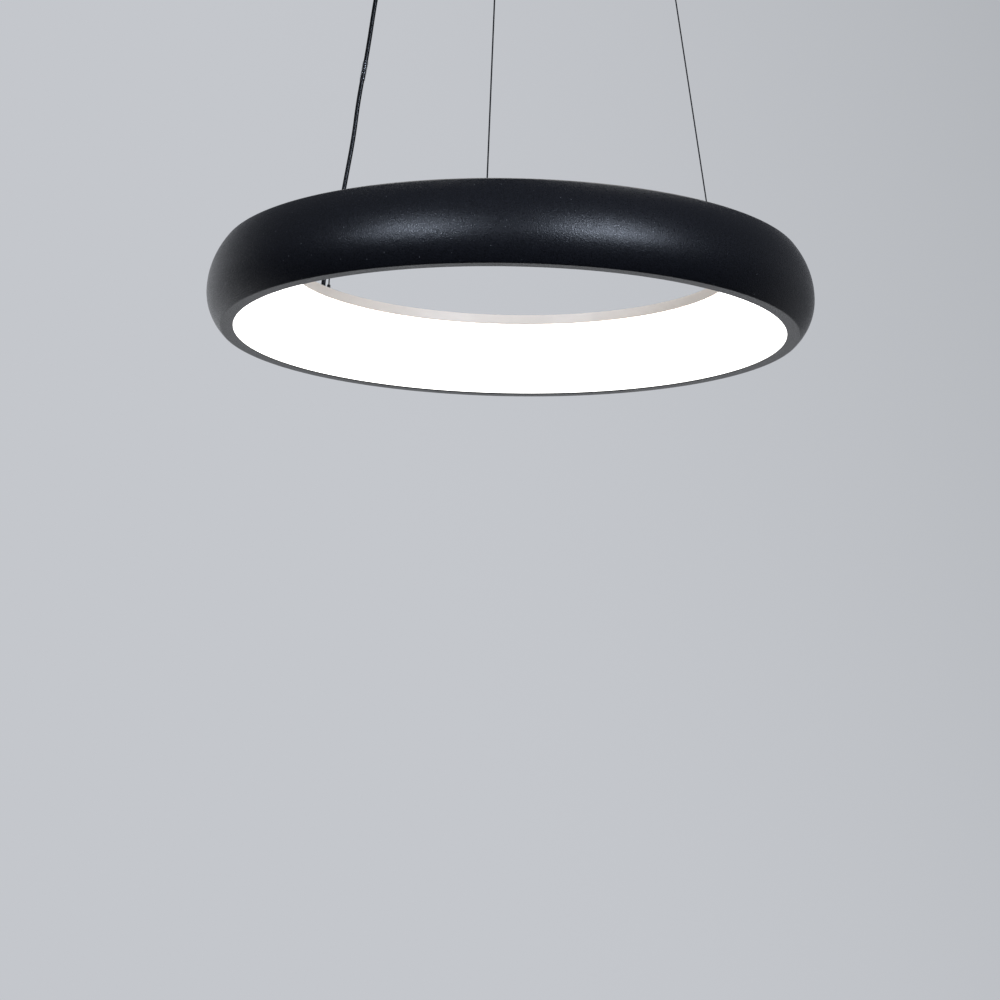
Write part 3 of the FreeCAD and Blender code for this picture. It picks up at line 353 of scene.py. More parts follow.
def add_piece(name, part, body, node):
    """A mesh object at the origin, smooth but for its sharp edges, riding on its body in place of its node.

    Its finish is that of the node's slot."""
    points, faces = part
    mesh = bpy.data.meshes.new(name)
    mesh.from_pydata(points, [], faces)
    mesh.shade_smooth()
    mesh.set_sharp_from_angle(angle=sharp_angle)
    mesh.materials.append(finish(node))
    piece = placed(name, mesh)
    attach(piece, body)
    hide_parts(node)
    return piece


# Finishes


def linked(tree, kind, outlet, inputs, **options):
    """A new node with its options set, as one of its outlets; an input is a value or the outlet that feeds it."""
    made = tree.nodes.new("ShaderNode" + kind)
    for name, value in options.items():
        setattr(made, name, value)
    for name, value in inputs.items():
        if isinstance(value, bpy.types.NodeSocket):
            tree.links.new(value, made.inputs[name])
        else:
            made.inputs[name].default_value = value
    return made.outputs[outlet]


def own_place(tree):
    """The object's own coordinates."""
    return linked(tree, "TexCoord", "Object", {})


def noise(tree, scale, detail=2.0, stretch=None):
    """Noise over the object's own coordinates; the scale, times the stretch along each axis, is in features a metre."""
    place = own_place(tree)
    if stretch:
        place = linked(tree, "Mapping", "Vector", {"Vector": place, "Scale": stretch})
    return linked(tree, "TexNoise", "Fac", {"Vector": place, "Scale": scale, "Detail": detail})


def ranged(tree, value, low, high, start=0.35, stop=0.65):
    """The value carried from between start and stop to between low and high."""
    ends = {"From Min": start, "From Max": stop, "To Min": low, "To Max": high}
    return linked(tree, "MapRange", "Result", {"Value": value, **ends})


def mixed(tree, factor, first, second):
    """A colour between two others, each three numbers or the colour that another node gives."""
    first, second = [(*c, 1) if isinstance(c, tuple) else c for c in (first, second)]
    return linked(tree, "Mix", "Result", {"Factor": factor, "A": first, "B": second}, data_type="RGBA")


def multiplied(tree, first, second):
    """The product of two values."""
    return linked(tree, "Math", "Value", {0: first, 1: second}, operation="MULTIPLY")


def bumped(tree, shader, height, depth, strength=1.0, under=None):
    """Relief of a depth in metres, over an earlier relief where one is given."""
    lower = {"Normal": under} if under else {}
    relief = linked(tree, "Bump", "Normal", {"Height": height, "Distance": depth, "Strength": strength, **lower})
    tree.links.new(relief, shader.inputs["Normal"])
    return relief


def shaded(colour, share):
    """The colour, darker or lighter."""
    return tuple(c * share for c in colour)


def toned(tree, shader, colour, spots, dark, light):
    """Gives the shader the colour, darker and lighter by two shares where the noise is low and high."""
    tint = mixed(tree, ranged(tree, spots, 0, 1), shaded(colour, dark), shaded(colour, light))
    tree.links.new(tint, shader.inputs["Base Color"])
    return tint


def roughened(tree, shader, spots, low, high):
    """Gives the shader a roughness between low and high, by a noise."""
    tree.links.new(ranged(tree, spots, low, high), shader.inputs["Roughness"])


def glowing(shader, colour, strength):
    """Gives the shader an even light of its own."""
    shader.inputs["Emission Color"].default_value = (*colour, 1)
    shader.inputs["Emission Strength"].default_value = strength


def new_finish(name, colour, roughness, metallic=0.0):
    """A material with its shader's own sockets set; returns the material, its nodes and the shader."""
    material = bpy.data.materials.new(name)
    material.use_nodes = True
    tree = material.node_tree
    shader = tree.nodes["Principled BSDF"]
    shader.inputs["Base Color"].default_value = (*colour, 1)
    shader.inputs["Roughness"].default_value = roughness
    shader.inputs["Metallic"].default_value = metallic
    return material, tree, shader


def powder_coat(name):
    """Fine-grained satin black: grain of about a millimetre, slow waves, rare pale specks of dust."""
    colour = tuple(settings("lamp_finish").black)
    material, tree, shader = new_finish(name, colour, 0.37)
    roughened(tree, shader, noise(tree, 850, 1), 0.27, 0.40)
    tint = toned(tree, shader, colour, noise(tree, 1150, 1), 0.45, 1.55)
    cells = linked(tree, "TexVoronoi", "Distance", {"Vector": own_place(tree), "Scale": 110})
    speck = ranged(tree, cells, 1, 0, 0.03, 0.05)
    tree.links.new(mixed(tree, speck, tint, (0.22, 0.22, 0.22)), shader.inputs["Base Color"])
    waves = bumped(tree, shader, noise(tree, 30), 0.00004)
    bumped(tree, shader, noise(tree, 1000, 1), 0.00026, under=waves)
    return material


def enamel(name):
    """Satin off-white paint with a faint orange peel."""
    colour = tuple(settings("lamp_finish").cream)
    material, tree, shader = new_finish(name, colour, 0.42)
    toned(tree, shader, colour, noise(tree, 35), 0.98, 1.02)
    roughened(tree, shader, noise(tree, 300), 0.38, 0.48)
    bumped(tree, shader, noise(tree, 380, 2), 0.00005, 0.6)
    return material


def opal(name):
    """Opal acrylic lit from behind: a little brighter half way up, where the light boards stand."""
    light = settings("lamp_finish")
    strength = light.glow_strength
    material, tree, shader = new_finish(name, (0.86, 0.86, 0.84), 0.34)
    shader.inputs["Emission Color"].default_value = (*light.glow, 1)
    low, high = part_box("opal_diffuser")
    height = linked(tree, "SeparateXYZ", "Z", {"Vector": own_place(tree)})
    off_middle = ranged(tree, height, -1, 1, low.z, high.z)
    dimmed = ranged(tree, multiplied(tree, off_middle, off_middle), strength, strength * 0.82, 0, 1)
    uneven = multiplied(tree, dimmed, ranged(tree, noise(tree, 9, 1), 0.98, 1.02))
    tree.links.new(uneven, shader.inputs["Emission Strength"])
    bumped(tree, shader, noise(tree, 650, 2), 0.00003, 0.5)
    return material


def cord_sheath(name):
    """Smooth black sheath, with faint lengthwise drag marks."""
    colour = tuple(settings("lamp_finish").cord)
    material, tree, shader = new_finish(name, colour, 0.24)
    shader.inputs["Specular IOR Level"].default_value = 0.18
    roughened(tree, shader, noise(tree, 200, 2), 0.20, 0.29)
    toned(tree, shader, colour, noise(tree, 80), 0.8, 1.3)
    bumped(tree, shader, noise(tree, 700, 2, (1, 1, 0.1)), 0.00001, 0.5)
    return material


def clear_tubing(name):
    """Clear soft tubing, a little cloudy in places."""
    material, tree, shader = new_finish(name, (0.90, 0.92, 0.94), 0.28)
    shader.inputs["Transmission Weight"].default_value = 1.0
    shader.inputs["IOR"].default_value = 1.3
    roughened(tree, shader, noise(tree, 260, 2), 0.22, 0.34)
    bumped(tree, shader, noise(tree, 300, 2), 0.00001, 0.5)
    return material


def metal(name, colour, roughness, scale, depth, stretch=None):
    """Bare or plated metal: brushed or grained relief, with uneven roughness and tone."""
    material, tree, shader = new_finish(name, colour, roughness, 1.0)
    texture = noise(tree, scale, 3, stretch)
    roughened(tree, shader, texture, roughness * 0.75, roughness * 1.25)
    toned(tree, shader, colour, noise(tree, 120, 3), 0.88, 1.06)
    bumped(tree, shader, texture, depth, 0.6)
    return material


def moulded(name, colour, roughness, scale, depth):
    """Moulded plastic, rubber or blackened steel: a fine even texture, slightly uneven sheen and tone."""
    material, tree, shader = new_finish(name, colour, roughness)
    roughened(tree, shader, noise(tree, scale / 4), roughness * 0.85, roughness * 1.15)
    toned(tree, shader, colour, noise(tree, 45), 0.92, 1.06)
    bumped(tree, shader, noise(tree, scale, 3), depth, 0.6)
    return material


def phosphor(name, colour):
    """A light source's resin top, lit from inside."""
    material = moulded(name, colour, 0.25, 900, 0.00003)
    glowing(material.node_tree.nodes["Principled BSDF"], colour, 2.0)
    return material


# Each slot of the record with its material's name and maker, then for metal and moulded the colour, roughness,
# features a metre and depth of relief, and for a brushed metal the stretch of its relief. Black-oxide steel and wire
# aren't bare, so they lack a metal's mirror.
finishes = {
    "black_paint": ("black_powder_coat", powder_coat),
    "cream_paint": ("cream_enamel", enamel),
    "opal": ("glowing_opal", opal),
    "dark_cord": ("sheath", cord_sheath),
    "clear_sleeve": ("clear_tube", clear_tubing),
    "steel": ("zinc_plate", metal, (0.56, 0.57, 0.58), 0.34, 70, 0.00003, (1, 12, 12)),
    "nickel": ("bright_nickel", metal, (0.66, 0.64, 0.60), 0.2, 500, 0.00001, (1, 1, 8)),
    "bare_aluminium": ("raw_aluminium", metal, (0.74, 0.75, 0.76), 0.32, 200, 0.00002, (1, 1, 10)),
    "brass": ("polished_brass", metal, (0.75, 0.55, 0.24), 0.26, 300, 0.00001),
    "black_screw": ("black_steel", moulded, (0.013, 0.013, 0.014), 0.4, 900, 0.00002),
    "black_wire": ("blackened_wire", moulded, (0.008, 0.008, 0.009), 0.5, 1400, 0.00001),
    "black_rubber": ("black_rubber", moulded, (0.014, 0.014, 0.014), 0.6, 900, 0.00006),
    "black_plastic": ("black_nylon", moulded, (0.018, 0.018, 0.019), 0.48, 800, 0.00005),
    "white_plastic": ("white_casing", moulded, (0.80, 0.80, 0.77), 0.40, 600, 0.00004),
    "board_white": ("light_board", moulded, (0.84, 0.84, 0.82), 0.3, 240, 0.00002),
    "warm_light": ("warm_phosphor", phosphor, (0.95, 0.72, 0.3)),
    "cool_light": ("cool_phosphor", phosphor, (0.88, 0.9, 0.62)),
}


def finish(node):
    """The material of a construction node's slot, made when it is first asked for."""
    name, make, *values = finishes[slot_of[node]]
    return bpy.data.materials.get(name) or make(name, *values)


# Shade


def wall_points(shade, inset):
    """The shade's wall from the lip to the top flange: tangent arcs that turn left from a level start.

    An arc of a radius that starts at a heading is centre + radius (sin heading, -cos heading); the inset is taken
    off every radius, which moves the wall towards the arcs' centres."""
    crease_turn = 45.6  # degrees
    flank_turn = 38.0
    arcs = (  # radius, turn and steps of each
        (shade.crease_radius, crease_turn, 12),
        (shade.belly_radius, 90 - crease_turn, 28),
        (shade.flank_radius, flank_turn, 26),
        (shade.shoulder_radius, 90 - flank_turn, 14),
    )
    at = np.array([shade.lip_radius + shade.lip_width, 0.0])
    heading = 0.0
    runs = []
    for radius, turn, steps in arcs:
        centre = at + radius * np.array([-math.sin(heading), math.cos(heading)])
        angle = heading + np.radians(turn) * np.linspace(0, 1, steps + 1)
        way = np.stack([np.sin(angle), -np.cos(angle)], axis=-1)
        runs.append(centre + (radius - inset) * way[:-1])
        at = centre + radius * way[-1]
        heading = angle[-1]
        last = centre + (radius - inset) * way[-1:]
    return np.concatenate([*runs, last])


def shade_outline(shade):
    """Outer wall going up, inner wall coming down, joined by rounded cut edges at the lip and at the flange."""
    skin = shade.sheet
    outer = wall_points(shade, 0.0)
    inner = wall_points(shade, skin)[::-1]
    start = outer[0, 0]
    end, top = outer[-1]
    edge = end - shade.flange_width
    flange = cut_edge([(end, top), (edge, top), (edge, top - skin), (inner[0, 0], top - skin)], skin)
    lip = cut_edge([(inner[-1, 0], skin), (shade.lip_radius, skin), (shade.lip_radius, 0.0), (start, 0.0)], skin)
    near = np.array([[0.0008, 0.0]])  # to a point on each flat that keeps its shading flat
    walls = [np.concatenate([wall[:1] - near, wall, wall[-1:] - near]) for wall in (outer, inner)]
    return np.concatenate([walls[0], flange, walls[1], lip])


class LAMP_OT_shade(bpy.types.Operator):
    """Builds the round black shade"""
    bl_idname = "lamp.shade"
    bl_label = "Shade"

    def execute(self, context):
        outline = shade_outline(settings("lamp_shade"))
        part = moved(lathe(outline, shade_steps), (0, 0, lip_level))
        add_piece("shade", part, "ring", "outer_shell")
        return {"FINISHED"}


def cone_radius(shade, height):
    """Inside radius of the diffuser at a height above the lip, on the straight line between its two rims."""
    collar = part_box("inner_collar")[1].x - shade.collar_sheet - shade.collar_foot
    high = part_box("opal_diffuser")[1].z - lip_level
    share = (height - shade.sheet) / (high - shade.sheet)
    low_radius = shade.lip_radius + shade.diffuser_setback
    return low_radius + (collar + shade.clearance - low_radius) * share


class LAMP_OT_diffuser(bpy.types.Operator):
    """Builds the glowing opal band inside the shade"""
    bl_idname = "lamp.diffuser"
    bl_label = "Diffuser"

    def execute(self, context):
        shade = settings("lamp_shade")
        low = shade.sheet
        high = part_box("opal_diffuser")[1].z - lip_level
        skin = shade.acrylic
        foot, head = cone_radius(shade, low), cone_radius(shade, high)
        wall = skin * math.hypot(1, (foot - head) / (high - low))
        corners = [
            (foot, low),
            (foot + shade.diffuser_foot, low),
            (foot + shade.diffuser_foot, low + skin),
            (cone_radius(shade, low + skin) + wall, low + skin),
            (cone_radius(shade, high - skin) + wall, high - skin),
            (head + shade.collar_foot, high - skin),
            (head + shade.collar_foot, high),
            (head, high),
        ]
        outline = rounded(corners, skin * np.array([0.15, 0.3, 0.3, 0.4, 0.4, 0.3, 0.3, 0.3]))
        part = moved(lathe(outline, shade_steps), (0, 0, lip_level))
        add_piece("diffuser", part, "ring", "opal_diffuser")
        return {"FINISHED"}


class LAMP_OT_collar(bpy.types.Operator):
    """Builds the cream collar at the top of the glowing band"""
    bl_idname = "lamp.collar"
    bl_label = "Collar"

    def execute(self, context):
        shade = settings("lamp_shade")
        box_low, box_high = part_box("inner_collar")
        low, high = box_low.z, box_high.z
        skin = shade.collar_sheet
        outer = box_high.x - shade.collar_foot
        corners = [
            (outer - skin, low),
            (outer + shade.collar_foot, low),
            (outer + shade.collar_foot, low + skin),
            (outer, low + skin),
            (outer, pan_under - skin),
            (outer + shade.collar_head, pan_under - skin),
            (outer + shade.collar_head, pan_under),
            (outer, pan_under),
            (outer, high),
            (outer - skin, high),
        ]
        outline = rounded(corners, skin * np.array([0.5, 0.4, 0.4, 0.3, 0.3, 0.4, 0.4, 0.15, 0.42, 0.42]))
        add_piece("collar", lathe(outline, shade_steps), "ring", "inner_collar")
        return {"FINISHED"}


class LAMP_OT_top_cover(bpy.types.Operator):
    """Builds the black pan that closes the shade's top"""
    bl_idname = "lamp.top_cover"
    bl_label = "Top Cover"

    def execute(self, context):
        shade = settings("lamp_shade")
        box_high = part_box("top_cover")[1]
        skin = shade.cover_sheet
        rim_top = box_high.z
        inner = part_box("inner_collar")[1].x - shade.collar_foot + shade.clearance
        flange_edge = float(wall_points(shade, 0.0)[-1, 0]) - shade.flange_width
        wall = flange_edge - shade.cover_wall_gap
        corners = [
            (inner, pan_under),
            (wall + skin, pan_under),
            (wall + skin, rim_top - skin),
            (box_high.x, rim_top - skin),
            (box_high.x, rim_top),
            (wall, rim_top),
            (wall, pan_top()),
            (inner, pan_top()),
        ]
        outline = rounded(corners, skin * np.array([0.4, 1.1, 0.3, 0.4, 0.4, 1.1, 0.3, 0.4]))
        add_piece("top_pan", lathe(outline, shade_steps), "ring", "top_cover")
        return {"FINISHED"}


# Fasteners


band_screw_turn = math.radians(15)  # azimuth of the light band's first screw, the farthest along x
cross_arm_share = 0.58  # of a screw head's radius
cross_width_share = 0.13
cross_corner = math.atan(cross_width_share / cross_arm_share)


def cross_angles():
    """Angles that hold every corner of a cross's outline, several to a side."""
    stops = (0, cross_corner, np.pi / 4, np.pi / 2 - cross_corner, np.pi / 2)
    steps = (3, 4, 4, 3)
    quarter = np.concatenate([np.linspace(a, b, n + 1)[:-1] for a, b, n in zip(stops, stops[1:], steps)])
    return (quarter + np.arange(4)[:, None] * np.pi / 2).ravel()


def cross_reach(head, angle):
    """Distance from the middle to the side of a cross: the arm's end, or the arm's flank beyond its corner."""
    folded = np.abs((angle + np.pi / 4) % (np.pi / 2) - np.pi / 4)
    flank = cross_width_share / np.maximum(np.sin(folded), tiny)
    return head * np.minimum(cross_arm_share / np.cos(folded), flank)


def pan_head(radius, height, shank, drop):
    """A domed screw head with a cross recess, and its shank below."""
    angle = cross_angles()
    cross = cross_reach(radius, angle)
    dome = np.linspace(0, 1, 6)
    rows = [(0.0, -drop), (shank * 0.8, -drop), (shank, -drop * 0.94), (shank, 0.0), (radius * 0.97, 0.0)]
    rows += [(radius * (1 - 0.34 * t ** 1.7), height * (0.2 + 0.75 * math.sin(t * np.pi / 2))) for t in dome]
    rows += [(cross * 1.05, height), (cross, height * 0.985)]
    rows += [(cross * 0.85, height * 0.55), (cross * 0.4, height * 0.3), (0.0, height * 0.25)]
    return stacked(rows, angle)


def dome_rivet(radius, height):
    """A snap head: rows follow an ellipse from the rim to the crown."""
    turn = np.linspace(0, np.pi / 2, 9)
    rows = [(0.0, 0.0), (radius * 0.96, 0.0)]
    rows += [(radius * math.cos(t), height * (0.12 + 0.88 * math.sin(t))) for t in turn]
    rows[-1] = (0.0, height)
    return stacked(rows, around(28))


class LAMP_OT_fasteners(bpy.types.Operator):
    """Builds the screws and rivets on top of the shade"""
    bl_idname = "lamp.fasteners"
    bl_label = "Screws and Rivets"

    screws: count("Screws", "Screws on the cover's rim, and as many over the light band", 6)
    rivets: count("Rivets", "Rivets through the collar's flange", 12)
    screw_head: length("Screw head", "Radius of a screw's head", 0.0028)
    screw_height: length("Screw height", "Height of a screw's head", 0.0018)
    screw_shank: length("Screw shank", "Radius of a screw's shank", 0.0015)
    rivet_head: length("Rivet head", "Radius of a rivet's head", 0.0024)
    rivet_height: length("Rivet height", "Height of a rivet's head", 0.0009)

    def execute(self, context):
        low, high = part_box("cover_screws")
        screw = pan_head(self.screw_head, self.screw_height, self.screw_shank, shade_top - low.z)
        rim_screws = on_circle(screw, high.x - self.screw_head, shade_top, around(self.screws), spin=2.3)
        add_piece("rim_screws", rim_screws, "ring", "cover_screws")
        rivet = dome_rivet(self.rivet_head, self.rivet_height)
        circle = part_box("collar_rivets")[1].x - self.rivet_head
        rivets = on_circle(rivet, circle, pan_top(), around(self.rivets))
        add_piece("dome_rivets", rivets, "ring", "collar_rivets")
        circle = (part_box("carrier_screws")[1].x - self.screw_head) / math.cos(band_screw_turn)
        band_screws = on_circle(screw, circle, pan_top(), around(self.screws) + band_screw_turn, spin=3.1)
        add_piece("band_screws", band_screws, "ring", "carrier_screws")
        return {"FINISHED"}


def barrel_end(suspension):
    """A wire's threaded end: hexagon, barrel and rounded mouth above it, shank below."""
    angle = around(48)
    hexagon = hexagon_reach(suspension.ferrule_flats, angle)
    rim = suspension.ferrule_flats / 2 * 1.03  # just past the flats, where the corners' chamfers start
    base = suspension.ferrule_base
    r = suspension.ferrule_radius
    top = suspension.ferrule_height
    shank = suspension.ferrule_shank_radius
    bore = suspension.wire_radius * 1.1
    bore_end = top - 0.004
    edge = 0.0003
    chamfers = [(np.minimum(hexagon, rim * share), base * rise) for share, rise in ((1.06, 0.06), (1.14, 0.2))]
    rows = [
        (0.0, -suspension.ferrule_shank),
        (shank * 0.8, -suspension.ferrule_shank),
        (shank, -suspension.ferrule_shank * 0.93),
        (shank, 0.0),
        (rim, 0.0),
        *chamfers,
        (hexagon, base * 0.35),
        (hexagon, base * 0.65),
        *[(reach, base - height) for reach, height in reversed(chamfers)],
        (rim, base),
        (r + edge, base),
        (r, base + edge),
        (r, top - edge * 2),
        (r - 0.0001, top - edge),
        (r - 0.0004, top),
        (bore + 0.0002, top),
        (bore, top - edge),
        (bore, bore_end),
        (0.0, bore_end),
    ]
    return stacked(rows, angle)


class LAMP_OT_wire_ends(bpy.types.Operator):
    """Builds the threaded ends that hold the wires on the shade, and the cord's grommet"""
    bl_idname = "lamp.wire_ends"
    bl_label = "Wire Ends and Grommet"

    def execute(self, context):
        suspension = settings("lamp_suspension")
        level = pan_top()
        part = barrel_end(suspension)
        for side in sides:
            node = "ferrule_" + side
            add_piece("wire_end_" + side, moved(part, on_axis(box_middle(node), level)), "ring", node)
        low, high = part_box("cord_grommet")
        flange = (high.x - low.x) / 2
        bore = suspension.cord_radius + 0.0003
        neck = bore + 0.0009
        thick = high.z - level
        corners = [
            (bore, low.z),
            (neck, low.z),
            (neck, pan_under - thick),
            (flange, pan_under - thick),
            (flange, pan_under),
            (neck, pan_under),
            (neck, level),
            (flange, level),
            (flange, level + thick * 0.35),
            (neck, level + thick),
            (bore, level + thick),
        ]
        radii = np.array([0.3, 0.3, 0.2, 0.4, 0.4, 0.1, 0.1, 0.1, 0.3, 0.4, 0.35]) * mm
        part = moved(lathe(rounded(corners, radii), turned_steps), on_axis(box_middle("cord_grommet")))
        add_piece("grommet", part, "ring", "cord_grommet")
        return {"FINISHED"}


# Wires and cord


strand_steps = 6  # round each strand's share of the wire
lay_steps = 11  # along one turn of the strands
cord_step = 0.0022  # along the cord
wire_resolution = 24  # of the splines
cord_resolution = 16


def spline_points(points, resolution):
    """Points along a smooth curve that has the given points as its control points."""
    curve = bpy.data.curves.new("route", "CURVE")
    curve.dimensions = "3D"
    curve.resolution_u = resolution
    spline = curve.splines.new("NURBS")
    spline.points.add(len(points) - 1)
    for place, point in zip(spline.points, points):
        place.co = (*point, 1)
    spline.order_u = 3
    spline.use_endpoint_u = True
    holder = bpy.data.objects.new("route", curve)
    mesh = bpy.data.meshes.new_from_object(holder)
    found = np.zeros(len(mesh.vertices) * 3)
    mesh.vertices.foreach_get("co", found)
    bpy.data.objects.remove(holder)
    bpy.data.curves.remove(curve)
    bpy.data.meshes.remove(mesh)
    return found.reshape(-1, 3)


def even_points(points, step):
    """The same line with its points at even steps of its length."""
    steps = np.linalg.norm(np.diff(points, axis=0), axis=1)
    run = np.concatenate([[0], np.cumsum(steps)])
    wanted = np.linspace(0, run[-1], int(run[-1] / step) + 1)
    return np.stack([np.interp(wanted, run, points[:, k]) for k in range(3)], axis=-1), wanted


def swept(path, radius, angle, reference, twist=None):
    """A section carried along a path: middle + radius (cos a * side + sin a * front), closed by a pole at each end.

    The side is the reference direction made square to the path, and the twist turns the section from row to row."""
    along = np.gradient(path, axis=0)
    along /= np.linalg.norm(along, axis=1, keepdims=True)
    reference = np.array(reference, float)
    side = reference - (along @ reference)[:, None] * along
    side /= np.linalg.norm(side, axis=1, keepdims=True)
    front = np.cross(along, side)
    turn = angle[None, :] + (0 if twist is None else twist[:, None])
    spread = np.cos(turn)[..., None] * side[:, None] + np.sin(turn)[..., None] * front[:, None]
    grid = path[:, None] + np.broadcast_to(radius, turn.shape)[..., None] * spread
    ends = [np.broadcast_to(path[k], (1, len(angle), 3)) for k in (0, -1)]
    grid = np.concatenate([ends[0], grid, ends[1]])
    return surface(grid[..., 0], grid[..., 1], grid[..., 2])


def wire_route(side):
    """Straight up out of the threaded end, over to the gripper, and straight up through it."""
    suspension = settings("lamp_suspension")
    low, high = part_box("wire_" + side)
    foot = box_middle("ferrule_" + side)
    head = box_middle("gripper_body_" + side)
    start = Vector(on_axis(foot, low.z))
    bend = Vector(on_axis(foot, pan_top() + suspension.ferrule_height + suspension.bend_height))
    turn = Vector(on_axis(head, plunger_mouth - suspension.bend_height))
    stop = Vector(on_axis(head, high.z))
    six_diameters = 12 * suspension.wire_radius
    way = (turn - bend).normalized() * six_diameters
    return [start, bend, bend + way, turn - way, turn, stop]


def strand_reach(radius, strands, angle):
    """Outline of strands laid round a core of their own size: the far side of the nearest strand's circle."""
    strand = radius / 3
    centre = radius - strand
    pitch = 2 * np.pi / strands
    folded = (angle + pitch / 2) % pitch - pitch / 2
    return centre * np.cos(folded) + np.sqrt(np.maximum(strand ** 2 - (centre * np.sin(folded)) ** 2, 0))


def shorten(piece):
    """Gives the piece a mesh of its own. The height of the threaded ends' mouths is worked out but not used, and no
    squash is set up, so nothing shortens as the shade is raised."""
    low = pan_top() + settings("lamp_suspension").ferrule_height
    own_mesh(piece)


class LAMP_OT_wires(bpy.types.Operator):
    """Builds the three stranded suspension wires"""
    bl_idname = "lamp.wires"
    bl_label = "Suspension Wires"

    def execute(self, context):
        suspension = settings("lamp_suspension")
        angle = around(suspension.wire_strands * strand_steps)
        reach = strand_reach(suspension.wire_radius, suspension.wire_strands, angle)
        for side in sides:
            node = "wire_" + side
            line = spline_points(wire_route(side), wire_resolution)
            path, run = even_points(line, suspension.wire_lay / lay_steps)
            twist = 2 * np.pi * run / suspension.wire_lay
            foot = box_middle("ferrule_" + side)
            across = Vector((-foot.y, foot.x, 0)).normalized()
            part = swept(path, reach, angle, across, twist)
            piece = add_piece("cable_" + side, part, "canopy", node)
            shorten(piece)
        return {"FINISHED"}


# Height above the top cover's floor, then how far the cord's middle lies outwards and along the circle from the left
# wire's middle. The first two and last two points stand straight in the grommet and in the gland, and the first is
# deep enough to stay in the grommet when the shade is raised.
entry_offset = 0.0096
exit_offset = 0.018
cord_route = (
    (-0.015, 0.0, entry_offset),
    (0.010, 0.0, entry_offset),
    (0.026, -0.0005, 0.0083),
    (0.048, -0.0013, 0.0057),
    (0.078, -0.0020, 0.0036),
    (0.118, -0.0022, 0.0028),
    (0.165, -0.0030, 0.0021),
    (0.205, -0.0016, 0.0031),
    (0.255, -0.0026, 0.0024),
    (0.310, -0.0018, 0.0029),
    (0.365, -0.0024, 0.0025),
    (0.425, -0.0017, 0.0030),
    (0.478, -0.0023, 0.0029),
    (0.518, -0.0016, 0.0044),
    (0.546, -0.0010, 0.0086),
    (0.568, -0.0004, 0.0136),
    (0.590, 0.0, exit_offset),
    (0.609, 0.0, exit_offset),
)
sleeve_heights = (0.098, 0.236, 0.430)


def wire_middle(side, z):
    """The wire's middle at a height, on the straight lines between its bends."""
    _, bend, _, _, turn, _ = wire_route(side)
    share = min(max((z - bend.z) / (turn.z - bend.z), 0), 1)
    return Vector(on_axis(bend + (turn - bend) * share, z))


def cord_points():
    """The cord's route in metres, and the direction along the circle."""
    level = pan_top()
    foot = box_middle("ferrule_left")
    head = box_middle("gripper_body_left")
    outward = Vector((foot.x, foot.y, 0)).normalized()
    along = Vector((-outward.y, outward.x, 0))
    points = []
    for i, (height, out, side) in enumerate(cord_route):
        if i < 2:
            base = Vector(on_axis(foot, level + height))
        elif i >= len(cord_route) - 2:
            base = Vector(on_axis(head, level + height))
        else:
            base = wire_middle("left", level + height)
        points.append(base + outward * out + along * side)
    return points, along


class LAMP_OT_cord(bpy.types.Operator):
    """Builds the black power cord beside the left wire"""
    bl_idname = "lamp.cord"
    bl_label = "Power Cord"

    def execute(self, context):
        suspension = settings("lamp_suspension")
        points, along = cord_points()
        line = spline_points(points, cord_resolution)
        path, _ = even_points(line, cord_step)
        part = swept(path, suspension.cord_radius, around(32), along)
        piece = add_piece("mains_cord", part, "canopy", "power_cord")
        shorten(piece)
        return {"FINISHED"}


def belt_outline(first, second, first_radius, second_radius, angle):
    """A belt round two circles: for each direction, the circle that reaches farther that way gives the point."""
    way = np.stack([np.cos(angle), np.sin(angle)], axis=-1)
    farther = (way @ first + first_radius) > (way @ second + second_radius)
    centre = np.where(farther[:, None], first, second)
    radius = np.where(farther, first_radius, second_radius)
    return centre + radius[:, None] * way


class LAMP_OT_sleeves(bpy.types.Operator):
    """Builds the clear sleeves that hold the cord against its wire"""
    bl_idname = "lamp.sleeves"
    bl_label = "Clear Sleeves"

    def execute(self, context):
        suspension = settings("lamp_suspension")
        line = spline_points(cord_points()[0], cord_resolution)
        angle = around(56)
        half = suspension.sleeve_length / 2
        # Heights from a sleeve's middle; its wall thins to half over the last of them
        ring = np.concatenate([[-1, -0.985], np.linspace(-0.9, 0.9, 9), [0.985, 1]]) * half
        bores = np.array([suspension.wire_radius, suspension.cord_radius]) + suspension.sleeve_clearance
        parts = []
        for height in sleeve_heights:
            outer, inner = [], []
            for offset in ring:
                z = pan_top() + height + offset
                cord = np.array([np.interp(z, line[:, 2], line[:, k]) for k in range(2)])
                wire = np.array(wire_middle("left", z))[:2]
                thin = suspension.sleeve_wall * (0.5 if abs(offset) == half else 1.0)
                outer.append((belt_outline(wire, cord, *(bores + thin), angle), z))
                inner.append((belt_outline(wire, cord, *bores, angle), z))
            rows = outer + inner[::-1]
            grid = np.array([r for r, z in rows])
            heights = np.array([z for r, z in rows])[:, None]
            parts.append(surface(grid[..., 0], grid[..., 1], heights, closed=True))
        piece = add_piece("sleeves", joined(parts), "canopy", "cord_sleeves")
        shorten(piece)
        return {"FINISHED"}


# Canopy


